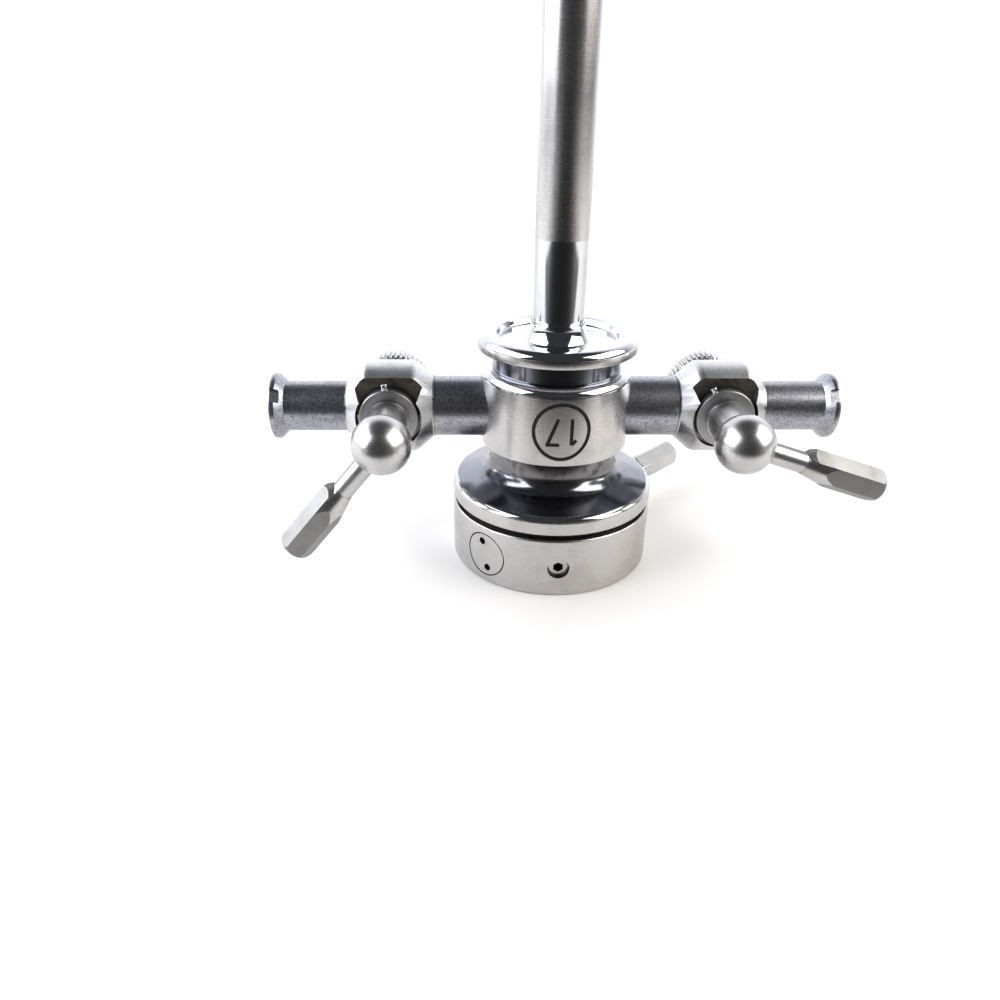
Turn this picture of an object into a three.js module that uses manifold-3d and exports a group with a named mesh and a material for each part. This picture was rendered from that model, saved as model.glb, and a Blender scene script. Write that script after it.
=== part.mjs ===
// Head and tube of a rigid endoscope sheath, size 17: a sheath tube in a turned head with two
// lever stopcocks, standing on its rotating lock ring.
// Millimetres. +Z runs along the tube, X along the stopcock arms, and the levers' ball handles face -Y.
// The origin is the centre of the lock ring's bottom face.

import * as THREE from "three";
import { mergeVertices } from "three/addons/utils/BufferGeometryUtils.js";
import Module from "manifold-3d";

const wasm = await Module();
wasm.setup();

// Fits
const RUNNING_FIT = 0.06; // radial clearance of pieces that turn in each other
const SEAT_GAP = 0.05; // clearance of pieces that are brazed or screwed together
const ROUND = 40; // facets of the large turned pieces
const TAP_ROUND = 28; // facets of the plugs, housings and what sits on them
const SMALL_ROUND = 24; // facets of rods, arms and small holes

// Sheath tube and its distal tip
const TUBE_RADIUS = 3.0;
const TUBE_WALL = 0.4;
const TUBE_FREE_LENGTH = 211.4; // from the front disc to the end of the tip
const TIP_LENGTH = 9;
const TIP_WALL = 0.55;
const TIP_ANGLE = 35; // degrees between the oblique mouth and the tube's axis
const TIP_MOUTH_RISE = 3; // from the tip's joint up to the lowest point of the mouth
const TUBE_SEAT_DEPTH = 2.6; // how far the tube reaches into the hub

// Lock ring
const LOCK_RING_RADIUS = 12.5;
const LOCK_RING_HEIGHT = 7.5;
const LOCK_RING_WALL = 3.5; // around the hub's spigot
const LOCK_RING_CHAMFER = 0.25;
const LOCK_LIP_HEIGHT = 1.0;
const LOCK_LIP_WIDTH = 1.8; // how far the lip reaches in under the spigot
const BAYONET_SLOT_WIDTH = 3.6;
const BAYONET_SLOT_END = 0.2; // left between the slot's ends and the ring's bore
const LOCK_TURN = 40; // degrees

// Hub: spigot inside the lock ring, bell flange, neck and core
const SOCKET_MOUTH_RADIUS = 5.8;
const SOCKET_END_RADIUS = 5.0;
const SOCKET_DEPTH = 8.0;
const FLANGE_GROOVE = 0.7; // dark groove between lock ring and flange
const FLANGE_GROOVE_DEPTH = 0.7;
const FLANGE_STEP = 0.05; // how far the flange's side stands inside the lock ring's
const FLANGE_HEIGHT = 2.0;
const BELL_EDGE_ROUND = 0.6;
const BELL_SLOPE = 19; // degrees
const NECK_RADIUS = 7.8;
const NECK_FILLET = 2.0;
const NECK_HEIGHT = 4.9; // from the flange's side up to its top

// Stopcock collar
const COLLAR_RADIUS = 8.9;
const COLLAR_WALL = 2.3;
const COLLAR_SEAM = 0.2; // open joint between neck and collar
const COLLAR_BELOW_ARM = 0.5; // material left under the arms' holes
const COLLAR_ABOVE_ARM = 1.4; // and over them
const COLLAR_ROUND = 1.0;
const CHANNEL_DEPTH = 0.8;
const CHANNEL_MARGIN = 0.3; // of the ring channel beyond the fluid bore, on each side

// Front disc
const UPPER_NECK_RADIUS = 7.6;
const UPPER_NECK_HEIGHT = 2.45; // between collar and disc
const DISC_RADIUS = 9.4;
const DISC_THICKNESS = 1.75;
const DISC_ROUND = 0.95;
const DISC_RIM = 2.25; // width of the rim around the dish
const DISH_DEPTH = 0.8;
const DISH_DRAFT = 0.15; // how far the dish narrows towards its floor
const ROOT_WALL = 0.12; // of the tube's root at its upper edge
const ROOT_FLARE = 0.6; // how far the tube's root flares out at the dish
const ROOT_FLARE_HEIGHT = 1.9;

// Arms and Luer ends
const FLUID_BORE_RADIUS = 1.5;
const INNER_ARM_RADIUS = 3.6;
const INNER_ARM_LENGTH = 5.65; // between collar and housing
const OUTER_TUBE_RADIUS = 3.0;
const OUTER_TUBE_LENGTH = 8.75; // from the housing to the Luer face
const LUER_LUG_RADIUS = 3.9;
const LUER_RIM = 0.45;
const LUER_BACK = 1.2; // length of the sloped back of the lugs
const LUER_BACK_HOLLOW = 0.25; // share of the lugs' height that the slope has reached half way along
const LUER_MOUTH_RADIUS = 2.15;
const LUER_TAPER = 0.03; // radius lost per millimetre, a 6 percent cone
const LUER_CONE_DEPTH = 8;
const LUER_CONE_END = 0.5; // length of the step from the cone down to the fluid bore
const LUG_NOTCH_DEPTH = 0.55;
const LUG_NOTCH_ANGLE = 24; // degrees
const LUG_NOTCH_TURN = 52; // degrees from the front

// Stopcock housings
const BARREL_RADIUS = 5.5;
const BARREL_HALF_LENGTH = 2.95;
const CONE_LENGTH = 2.25; // of the barrel's cones, with their end bands
const INNER_END_STEP = 0.1; // how far the inner end stands proud of its arm
const OUTER_END_STEP = 0.25; // and the outer end of its tube
const END_BAND = 0.15;
const FRONT_FACE_DEPTH = 2.35; // of the spot face behind the plug's flange, from the barrel's surface
const REAR_FACE_DEPTH = 0.55;
const REAR_FACE_CLEARANCE = 0.25; // of the rear spot face around the nut
const WINDOW_HALF_WIDTH = 3.1;
const WINDOW_BOTTOM = 1.6;
const WINDOW_ROOT = 0.6; // how far the window reaches down into the flange's pocket
const WINDOW_FLARE = 0.48; // half width gained per millimetre of height

// Stopcock plugs, which turn about Y
const PLUG_FRONT_RADIUS = 2.9;
const PLUG_REAR_RADIUS = 2.3;
const PLUG_FLANGE_LIP = 0.55; // of the flange around the plug's front end
const PLUG_FLANGE_THICKNESS = 1.22;
const PLUG_FLANGE_CHAMFER = 0.15;
const PLUG_FLANGE_LIFT = 0.3; // of the flange off the spot face
const FLANGE_POCKET_CLEARANCE = 0.4;
const STEM_RADIUS = 2.3;
const STEM_COLLAR = 0.13;
const STEM_COLLAR_HEIGHT = 0.75;
const BALL_OFFSET = 7.33; // from the flange's front to the ball's centre
const BALL_RADIUS = 3.3;
const TAIL_RADIUS = 1.7;
const TAIL_PROUD = 0.6; // how far the tail stands out of the nut
const TAIL_CHAMFER = 0.35;
const STOP_PIN_RADIUS = 0.4;
const STOP_PIN_PROUD = 0.65; // how far the pin stands out of the flange
const STOP_PIN_INSET = 0.6;
const STOP_PIN_ANGLE = 135; // degrees from the lever to the pin
const REST_TURN = { left: 50, right: 18 }; // degrees the levers point below the arms

// Washers and nut behind each housing
const THRUST_WASHER_RADIUS = 3.7;
const THRUST_WASHER_THICKNESS = 0.5;
const SPRING_WASHER_RADIUS = 3.3;
const SPRING_WASHER_THICKNESS = 0.3;
const SPRING_WASHER_RISE = 0.45;
const NUT_RADIUS = 4.45;
const NUT_GAP = 0.2; // between thrust washer and nut
const NUT_LENGTH = 2.95;
const NUT_RECESS_CLEARANCE = 0.15; // of the nut's recess around the spring washer
const NUT_CHAMFER = 0.3;
const KNURL_TEETH = 42;
const KNURL_DEPTH = 0.3;

// Levers: a round rod that ends in a hexagonal paddle, its flats to front and rear
const ROD_RADIUS = 1.2;
const ROD_SEAT_DEPTH = 1.8;
const TAP_ROD_LENGTH = 3.8; // free length between ball and paddle
const PADDLE_LENGTH = 9.8;
const PADDLE_RADIUS = 2.0; // to the hexagon's corners
const PADDLE_TAPER = 3.9; // length over which the paddle grows out of the rod
const PADDLE_SHOULDER = 0.9; // the same on the paddle's upper edge, which is more abrupt
const PADDLE_END_CHAMFER = 0.9;
const PADDLE_ROOT_SHARE = 0.8; // of the rod's radius that the paddle's thickness starts from
const LOCK_LEVER_ANGLE = 45; // degrees from +X
const LOCK_LEVER_LIFT = 0.35; // above the middle of the lock ring
const LOCK_ROD_LENGTH = 6.2; // free length between ring and paddle

// Detent and guide screw in the lock ring, as degrees from the front towards +X
const DETENT_ANGLE = -43.6;
const DETENT_SCREW_RADIUS = 2.7;
const DETENT_SCREW_THICKNESS = 1.1;
const SPANNER_HOLE_RADIUS = 0.45;
const SPANNER_HOLE_SPACING = 3.5;
const SPANNER_HOLE_DEPTH = 0.7;
const SPANNER_HOLE_TILT = 13; // degrees
const DETENT_BALL_RADIUS = 1.0;
const DETENT_DIMPLE = 0.25;
const DETENT_SPRING_WIRE = 0.12; // radius of the wire
const DETENT_SPRING_TURNS = 2.5;
const DETENT_SPRING_CLEARANCE = 0.2; // of the coil inside its hole
const GUIDE_SCREW_ANGLE = 0;
const GUIDE_SCREW_RADIUS = 1.25;
const GUIDE_SCREW_SUNK = 0.45;
const GUIDE_SCREW_SOCKET_RADIUS = 0.65;
const GUIDE_SCREW_SOCKET_DEPTH = 1.0;
const GUIDE_GROOVE_DEPTH = 0.9;
const GUIDE_GROOVE_MARGIN = 1; // degrees left beyond the screw at each end of the turn

// Places that follow from the sizes: the stack up the tube's axis, then out along an arm, then the
// tap's own stack along its turning axis
const SPIGOT_RADIUS = LOCK_RING_RADIUS - LOCK_RING_WALL;
const FLANGE_RADIUS = LOCK_RING_RADIUS - FLANGE_STEP;
const CORE_RADIUS = COLLAR_RADIUS - COLLAR_WALL;
const LUMEN_RADIUS = TUBE_RADIUS - TUBE_WALL;
const DETENT_Z = LOCK_RING_HEIGHT / 2;
const LOCK_LEVER_Z = DETENT_Z + LOCK_LEVER_LIFT;
const SPIGOT_BOTTOM_Z = LOCK_LIP_HEIGHT + RUNNING_FIT;
const SOCKET_TOP_Z = SPIGOT_BOTTOM_Z + SOCKET_DEPTH;
const FLANGE_BOTTOM_Z = LOCK_RING_HEIGHT + FLANGE_GROOVE;
const FLANGE_TOP_Z = FLANGE_BOTTOM_Z + FLANGE_HEIGHT;
const NECK_TOP_Z = FLANGE_TOP_Z + NECK_HEIGHT;
const COLLAR_BOTTOM_Z = NECK_TOP_Z + COLLAR_SEAM;
const ARM_Z = COLLAR_BOTTOM_Z + COLLAR_BELOW_ARM + INNER_ARM_RADIUS;
const COLLAR_TOP_Z = ARM_Z + INNER_ARM_RADIUS + COLLAR_ABOVE_ARM;
const CORE_TOP_Z = COLLAR_TOP_Z - SEAT_GAP;
const DISC_BOTTOM_Z = COLLAR_TOP_Z + UPPER_NECK_HEIGHT;
const DISC_TOP_Z = DISC_BOTTOM_Z + DISC_THICKNESS;
const TUBE_END_Z = DISC_TOP_Z + TUBE_FREE_LENGTH;
const TAP_HALF_LENGTH = BARREL_HALF_LENGTH + CONE_LENGTH;
const TAP_X = COLLAR_RADIUS + INNER_ARM_LENGTH + TAP_HALF_LENGTH;
const LUER_FACE_X = TAP_X + TAP_HALF_LENGTH + OUTER_TUBE_LENGTH;
const FRONT_FACE_Y = BARREL_RADIUS - FRONT_FACE_DEPTH;
const PLUG_FLANGE_RADIUS = PLUG_FRONT_RADIUS + PLUG_FLANGE_LIP;
const PLUG_FLANGE_BACK_Y = FRONT_FACE_Y + PLUG_FLANGE_LIFT;
const PLUG_FLANGE_FRONT_Y = PLUG_FLANGE_BACK_Y + PLUG_FLANGE_THICKNESS;
const BALL_Y = PLUG_FLANGE_FRONT_Y + BALL_OFFSET;
const REAR_FACE_Y = BARREL_RADIUS - REAR_FACE_DEPTH;
const NUT_FRONT_Y = REAR_FACE_Y + THRUST_WASHER_THICKNESS + NUT_GAP;
const NUT_END_Y = NUT_FRONT_Y + NUT_LENGTH;
const TAIL_END_Y = NUT_END_Y + TAIL_PROUD;
const PAST = 1; // how far a cutting solid reaches past what it cuts

// Geometry and solid helpers ----------------------------------------------------------------------

const radians = THREE.MathUtils.degToRad;
const degrees = THREE.MathUtils.radToDeg;

// Points [x, y] along a round stretch, angles in degrees.
function arc(x, y, radius, from, to, steps) {
  return Array.from({ length: steps + 1 }, (_, i) => {
    const angle = radians(from + ((to - from) * i) / steps);
    return [x + radius * Math.cos(angle), y + radius * Math.sin(angle)];
  });
}

// A closed geometry as a solid that can be cut and joined.
function solid(geometry) {
  const bare = geometry.clone();
  bare.deleteAttribute("normal");
  bare.deleteAttribute("uv");
  const merged = mergeVertices(bare, 1e-4);
  const mesh = new wasm.Mesh({
    numProp: 3,
    vertProperties: merged.getAttribute("position").array,
    triVerts: Uint32Array.from(merged.index.array),
  });
  return new wasm.Manifold(mesh);
}

// A solid back as a geometry with flat faces.
function geometryOf(body) {
  const mesh = body.getMesh();
  const geometry = new THREE.BufferGeometry();
  geometry.setAttribute("position", new THREE.BufferAttribute(mesh.vertProperties, 3));
  geometry.setIndex(new THREE.BufferAttribute(mesh.triVerts, 1));
  const flat = geometry.toNonIndexed();
  flat.computeVertexNormals();
  return flat;
}

// A piece turned about an axis, from its [radius, height] profile, bottom of the inside first.
function turned(profile, axis = "z", facets = ROUND) {
  const points = profile.map(([radius, height]) => new THREE.Vector2(radius, height));
  const geometry = new THREE.LatheGeometry(points, facets);
  if (axis === "z") geometry.rotateX(Math.PI / 2);
  if (axis === "x") geometry.rotateZ(-Math.PI / 2);
  return solid(geometry);
}

// A plain round bar along an axis between two heights.
function bar(radius, low, high, axis = "z", facets = SMALL_ROUND) {
  return turned([[0, low], [radius, low], [radius, high], [0, high]], axis, facets);
}

// A plain tube along an axis between two heights.
function ring(inner, outer, low, high, axis = "z", facets = ROUND) {
  const profile = [[inner, low], [outer, low], [outer, high], [inner, high], [inner, low]];
  return turned(profile, axis, facets);
}

// An outline of [x, y] points extruded along +Z.
function extruded(outline, depth) {
  const shape = new THREE.Shape(outline.map(([x, y]) => new THREE.Vector2(x, y)));
  return new THREE.ExtrudeGeometry(shape, { depth, bevelEnabled: false, steps: 1 });
}

function block(width, length, height, x = 0, y = 0, z = 0) {
  return solid(new THREE.BoxGeometry(width, length, height).translate(x, y, z));
}

// Turns a solid that was made along +X so that it points at an angle from the front, and lifts it.
function pointedFromFront(body, angle, z) {
  return body.rotate([0, 0, angle - 90]).translate([0, 0, z]);
}

const turnedAboutZ = (body, angle) => body.rotate([0, 0, angle]);

// Materials ---------------------------------------------------------------------------------------

const steel = (name, color, roughness) =>
  new THREE.MeshStandardMaterial({ name, color, roughness, metalness: 1 });
const satin = (name) => steel(name, 0xc4c2c0, 0.38);
const polished = (name) => steel(name, 0xd6d8da, 0.12);
const blasted = (name) => steel(name, 0xa9a9ab, 0.55);
const spring = (name) => steel(name, 0x9a9894, 0.3);

const head = new THREE.Group();
const sides = {};
for (const side of ["left", "right"]) {
  const mirror = side === "left" ? -1 : 1;
  const arm = new THREE.Group();
  arm.scale.x = mirror;
  const tap = new THREE.Group();
  tap.position.set(TAP_X, 0, ARM_Z);
  tap.rotation.y = radians(REST_TURN[side]);
  arm.add(tap);
  head.add(arm);
  sides[side] = { arm, tap };
}

function add(parent, name, body, material) {
  const mesh = new THREE.Mesh(geometryOf(body), material(name));
  mesh.name = name;
  parent.add(mesh);
}

// Hub ---------------------------------------------------------------------------------------------

// The bell's outside: rounded edge, shallow slope and the fillet up into the neck.
function bellProfile() {
  const slope = radians(BELL_SLOPE);
  const edgeCentre = FLANGE_RADIUS - BELL_EDGE_ROUND;
  const edge = arc(edgeCentre, FLANGE_TOP_Z, BELL_EDGE_ROUND, 0, 90 - BELL_SLOPE, 3);
  const [edgeX, edgeZ] = edge[edge.length - 1];
  const filletX = NECK_RADIUS + NECK_FILLET * (1 - Math.sin(slope));
  const filletZ = edgeZ + (edgeX - filletX) * Math.tan(slope);
  const centreZ = filletZ + NECK_FILLET * Math.cos(slope);
  const fillet = arc(NECK_RADIUS + NECK_FILLET, centreZ, NECK_FILLET, 270 - BELL_SLOPE, 180, 3);
  return [...edge, ...fillet];
}

function hubBody() {
  const grooveRadius = FLANGE_RADIUS - FLANGE_GROOVE_DEPTH;
  const shoulderZ = LOCK_RING_HEIGHT + RUNNING_FIT;
  const seatZ = CORE_TOP_Z - TUBE_SEAT_DEPTH;
  const seatRadius = TUBE_RADIUS + SEAT_GAP;
  let body = turned([
    [SOCKET_MOUTH_RADIUS, SPIGOT_BOTTOM_Z],
    [SPIGOT_RADIUS, SPIGOT_BOTTOM_Z],
    [SPIGOT_RADIUS, shoulderZ],
    [grooveRadius, shoulderZ],
    [grooveRadius, FLANGE_BOTTOM_Z],
    [FLANGE_RADIUS, FLANGE_BOTTOM_Z],
    ...bellProfile(),
    [NECK_RADIUS, NECK_TOP_Z],
    [CORE_RADIUS, NECK_TOP_Z],
    [CORE_RADIUS, CORE_TOP_Z],
    [seatRadius, CORE_TOP_Z],
    [seatRadius, seatZ],
    [LUMEN_RADIUS, seatZ],
    [LUMEN_RADIUS, SOCKET_TOP_Z],
    [SOCKET_END_RADIUS, SOCKET_TOP_Z],
    [SOCKET_MOUTH_RADIUS, SPIGOT_BOTTOM_Z],
  ]);
  const bore = bar(FLUID_BORE_RADIUS, -CORE_RADIUS - PAST, CORE_RADIUS + PAST, "x");
  body = body.subtract(bore.translate([0, 0, ARM_Z]));
  return body.subtract(guideGroove());
}

// The groove in the spigot that the guide screw and the detent ball travel in, with a dimple
// for the ball at each end of the ring's turn.
function guideGroove() {
  const floorRadius = SPIGOT_RADIUS - GUIDE_GROOVE_DEPTH;
  const halfHeight = GUIDE_SCREW_RADIUS + SEAT_GAP;
  const endAllowance = degrees(halfHeight / floorRadius) + GUIDE_GROOVE_MARGIN;
  const from = DETENT_ANGLE - endAllowance - 90;
  const to = GUIDE_SCREW_ANGLE + LOCK_TURN + endAllowance - 90;
  const outline = [
    ...arc(0, 0, floorRadius, from, to, 20),
    ...arc(0, 0, SPIGOT_RADIUS + PAST, to, from, 20),
  ];
  let groove = solid(extruded(outline, 2 * halfHeight)).translate([0, 0, DETENT_Z - halfHeight]);
  for (const angle of [DETENT_ANGLE, DETENT_ANGLE + LOCK_TURN]) {
    const reach = floorRadius + DETENT_BALL_RADIUS - DETENT_DIMPLE;
    const dimple = solid(new THREE.SphereGeometry(DETENT_BALL_RADIUS, 10, 8).translate(reach, 0, 0));
    groove = groove.add(pointedFromFront(dimple, angle, DETENT_Z));
  }
  return groove;
}

add(head, "hub_body", hubBody(), polished);

// Stopcock collar with the holes that take the arms -----------------------------------------------

function stopcockCollar() {
  const bore = CORE_RADIUS + SEAT_GAP;
  const channelHalf = FLUID_BORE_RADIUS + CHANNEL_MARGIN;
  const body = turned([
    [bore, COLLAR_BOTTOM_Z],
    [COLLAR_RADIUS, COLLAR_BOTTOM_Z],
    ...arc(COLLAR_RADIUS - COLLAR_ROUND, COLLAR_TOP_Z - COLLAR_ROUND, COLLAR_ROUND, 0, 90, 4),
    [bore, COLLAR_TOP_Z],
    [bore, ARM_Z + channelHalf],
    [bore + CHANNEL_DEPTH, ARM_Z + channelHalf],
    [bore + CHANNEL_DEPTH, ARM_Z - channelHalf],
    [bore, ARM_Z - channelHalf],
    [bore, COLLAR_BOTTOM_Z],
  ]);
  const hole = bar(INNER_ARM_RADIUS + SEAT_GAP, -COLLAR_RADIUS - PAST, COLLAR_RADIUS + PAST, "x");
  return body.subtract(hole.translate([0, 0, ARM_Z]));
}

add(head, "stopcock_collar", stopcockCollar(), satin);

// Front disc: upper neck, rounded rim, dish and the flared root of the tube -----------------------

function frontDisc() {
  const bore = TUBE_RADIUS + SEAT_GAP;
  const bottom = COLLAR_TOP_Z + SEAT_GAP;
  const dishRadius = DISC_RADIUS - DISC_RIM;
  const dishZ = DISC_TOP_Z - DISH_DEPTH;
  const rootTop = dishZ + ROOT_FLARE_HEIGHT;
  const root = [0, 1 / 3, 2 / 3, 1].map((rise) => {
    return [bore + ROOT_WALL + ROOT_FLARE * (1 - rise) ** 2, dishZ + ROOT_FLARE_HEIGHT * rise];
  });
  return turned([
    [bore, bottom],
    [UPPER_NECK_RADIUS, bottom],
    [UPPER_NECK_RADIUS, DISC_BOTTOM_Z],
    [DISC_RADIUS, DISC_BOTTOM_Z],
    ...arc(DISC_RADIUS - DISC_ROUND, DISC_TOP_Z - DISC_ROUND, DISC_ROUND, 0, 90, 4),
    [dishRadius, DISC_TOP_Z],
    [dishRadius - DISH_DRAFT, dishZ],
    ...root,
    [bore, rootTop],
    [bore, bottom],
  ]);
}

add(head, "front_disc", frontDisc(), polished);

// Sheath tube and its oblique distal tip ----------------------------------------------------------

function sheathTube() {
  const bottom = CORE_TOP_Z - TUBE_SEAT_DEPTH + SEAT_GAP;
  return ring(LUMEN_RADIUS, TUBE_RADIUS, bottom, TUBE_END_Z - TIP_LENGTH, "z", TAP_ROUND);
}

function distalTip() {
  const rim = TIP_WALL / 2;
  const inner = TUBE_RADIUS - TIP_WALL;
  const body = turned([
    [inner, TUBE_END_Z - TIP_LENGTH + SEAT_GAP],
    [TUBE_RADIUS, TUBE_END_Z - TIP_LENGTH + SEAT_GAP],
    ...arc(TUBE_RADIUS - rim, TUBE_END_Z - rim, rim, 0, 180, 6),
    [inner, TUBE_END_Z - TIP_LENGTH + SEAT_GAP],
  ], "z", TAP_ROUND);
  // The mouth is cut from the front rim back along a slope that leaves the rear half standing.
  const size = 4 * TUBE_RADIUS;
  const cut = block(size, size, 4 * size, 0, -size / 2, 0)
    .rotate([-TIP_ANGLE, 0, 0])
    .translate([0, -TUBE_RADIUS + TIP_WALL, TUBE_END_Z - TIP_LENGTH + TIP_MOUTH_RISE]);
  return body.subtract(cut);
}

add(head, "sheath_tube", sheathTube(), satin);
add(head, "distal_tip", distalTip(), polished);

// Arms, housings and Luer ends --------------------------------------------------------------------

function innerArm() {
  const start = CORE_RADIUS + SEAT_GAP + CHANNEL_DEPTH + SEAT_GAP;
  const end = TAP_X - TAP_HALF_LENGTH - SEAT_GAP;
  return ring(FLUID_BORE_RADIUS, INNER_ARM_RADIUS, start, end, "x", SMALL_ROUND);
}

// The taper hole for the plug, one running fit wider than the plug.
function plugCone(clearance, front, rear) {
  return turned([
    [0, -front],
    [plugRadiusAt(-front) + clearance, -front],
    [plugRadiusAt(rear) + clearance, rear],
    [0, rear],
  ], "y", TAP_ROUND);
}

function plugRadiusAt(y) {
  const share = (y + PLUG_FLANGE_BACK_Y) / (PLUG_FLANGE_BACK_Y + REAR_FACE_Y);
  return PLUG_FRONT_RADIUS + (PLUG_REAR_RADIUS - PLUG_FRONT_RADIUS) * share;
}

function tapHousing() {
  const innerEnd = INNER_ARM_RADIUS + INNER_END_STEP;
  const outerEnd = OUTER_TUBE_RADIUS + OUTER_END_STEP;
  let body = turned([
    [FLUID_BORE_RADIUS, -TAP_HALF_LENGTH],
    [innerEnd, -TAP_HALF_LENGTH],
    [innerEnd, -TAP_HALF_LENGTH + END_BAND],
    [BARREL_RADIUS, -BARREL_HALF_LENGTH],
    [BARREL_RADIUS, BARREL_HALF_LENGTH],
    [outerEnd, TAP_HALF_LENGTH - END_BAND],
    [outerEnd, TAP_HALF_LENGTH],
    [FLUID_BORE_RADIUS, TAP_HALF_LENGTH],
    [FLUID_BORE_RADIUS, -TAP_HALF_LENGTH],
  ], "x", TAP_ROUND);
  const past = BARREL_RADIUS + PAST;
  body = body.subtract(plugCone(RUNNING_FIT, past, past));
  const pocketRadius = PLUG_FLANGE_RADIUS + FLANGE_POCKET_CLEARANCE;
  body = body.subtract(bar(pocketRadius, -past, -FRONT_FACE_Y, "y", TAP_ROUND));
  body = body.subtract(bar(NUT_RADIUS + REAR_FACE_CLEARANCE, REAR_FACE_Y, past, "y", TAP_ROUND));
  return body.subtract(stopWindow(past));
}

// The wedge milled out of the housing's upper front, in which the stop pin swings.
function stopWindow(past) {
  const halfAt = (z) => WINDOW_HALF_WIDTH + (z - WINDOW_BOTTOM) * WINDOW_FLARE;
  const low = WINDOW_BOTTOM - WINDOW_ROOT;
  const right = [[halfAt(low), low], [halfAt(past), past]];
  const left = [[-halfAt(past), past], [-halfAt(low), low]];
  const wedge = solid(extruded([...right, ...left], past - FRONT_FACE_Y).rotateX(Math.PI / 2));
  return wedge.translate([0, -FRONT_FACE_Y, 0]);
}

function luerTube() {
  const start = TAP_X + TAP_HALF_LENGTH + SEAT_GAP;
  const coneStart = LUER_FACE_X - LUER_CONE_DEPTH;
  const backStart = LUER_FACE_X - LUER_RIM - LUER_BACK;
  const backHollow = OUTER_TUBE_RADIUS + LUER_BACK_HOLLOW * (LUER_LUG_RADIUS - OUTER_TUBE_RADIUS);
  const profile = [
    [FLUID_BORE_RADIUS, start],
    [OUTER_TUBE_RADIUS, start],
    [OUTER_TUBE_RADIUS, backStart],
    [backHollow, backStart + LUER_BACK / 2],
    [LUER_LUG_RADIUS, LUER_FACE_X - LUER_RIM],
    [LUER_LUG_RADIUS, LUER_FACE_X],
    [LUER_MOUTH_RADIUS, LUER_FACE_X],
    [LUER_MOUTH_RADIUS - LUER_TAPER * LUER_CONE_DEPTH, coneStart],
    [FLUID_BORE_RADIUS, coneStart - LUER_CONE_END],
    [FLUID_BORE_RADIUS, start],
  ];
  let body = turned(profile, "x", TAP_ROUND);
  // Two notches part the flange into the two lugs of a Luer lock.
  const notchRadius = LUER_LUG_RADIUS - LUG_NOTCH_DEPTH;
  for (const turn of [LUG_NOTCH_TURN, LUG_NOTCH_TURN + 180]) {
    const from = turn - LUG_NOTCH_ANGLE / 2;
    const to = turn + LUG_NOTCH_ANGLE / 2;
    const inside = arc(0, 0, notchRadius, from, to, 4);
    const outside = arc(0, 0, LUER_LUG_RADIUS + PAST, to, from, 4);
    const length = LUER_RIM + LUER_BACK + PAST;
    const notch = extruded([...inside, ...outside], length).rotateX(Math.PI / 2).rotateZ(Math.PI / 2);
    body = body.subtract(solid(notch).rotate([180, 0, 0]).translate([backStart, 0, 0]));
  }
  return body.translate([0, 0, ARM_Z]);
}

// Plugs with ball handles -------------------------------------------------------------------------

// The ball from its front pole round to the stem, as [radius, y] points.
function ballProfile() {
  const stemAngle = degrees(Math.acos(STEM_RADIUS / BALL_RADIUS));
  return arc(0, -BALL_Y, BALL_RADIUS, -90, stemAngle, 10);
}

function tapPlug() {
  const coneEnd = REAR_FACE_Y - SEAT_GAP;
  let body = turned([
    ...ballProfile(),
    [STEM_RADIUS, -PLUG_FLANGE_FRONT_Y - STEM_COLLAR_HEIGHT],
    [STEM_RADIUS + STEM_COLLAR, -PLUG_FLANGE_FRONT_Y - STEM_COLLAR_HEIGHT],
    [STEM_RADIUS + STEM_COLLAR, -PLUG_FLANGE_FRONT_Y],
    [PLUG_FLANGE_RADIUS - PLUG_FLANGE_CHAMFER, -PLUG_FLANGE_FRONT_Y],
    [PLUG_FLANGE_RADIUS, -PLUG_FLANGE_FRONT_Y + PLUG_FLANGE_CHAMFER],
    [PLUG_FLANGE_RADIUS, -PLUG_FLANGE_BACK_Y],
    [plugRadiusAt(-PLUG_FLANGE_BACK_Y), -PLUG_FLANGE_BACK_Y],
    [plugRadiusAt(coneEnd), coneEnd],
    [TAIL_RADIUS, coneEnd],
    [TAIL_RADIUS, TAIL_END_Y - TAIL_CHAMFER],
    [TAIL_RADIUS - TAIL_CHAMFER, TAIL_END_Y],
    [0, TAIL_END_Y],
  ], "y", TAP_ROUND);
  const half = PLUG_FRONT_RADIUS + PAST;
  body = body.subtract(bar(FLUID_BORE_RADIUS, -half, half, "x", 16));
  const seat = BALL_RADIUS - ROD_SEAT_DEPTH - SEAT_GAP;
  const rodHole = bar(ROD_RADIUS + SEAT_GAP, seat, BALL_RADIUS + PAST, "x", SMALL_ROUND);
  body = body.subtract(rodHole.translate([0, -BALL_Y, 0]));
  return body.subtract(stopPin(SEAT_GAP, PAST));
}

// The pin that stands out of the flange's edge, made along +X and swung to its angle.
function stopPin(clearance, extra) {
  const middle = -(PLUG_FLANGE_FRONT_Y + PLUG_FLANGE_BACK_Y) / 2;
  const start = PLUG_FLANGE_RADIUS - STOP_PIN_INSET - clearance;
  const end = PLUG_FLANGE_RADIUS + STOP_PIN_PROUD + extra;
  const pin = bar(STOP_PIN_RADIUS + clearance, start, end, "x", 12);
  return pin.rotate([0, -STOP_PIN_ANGLE, 0]).translate([0, middle, 0]);
}

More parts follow.
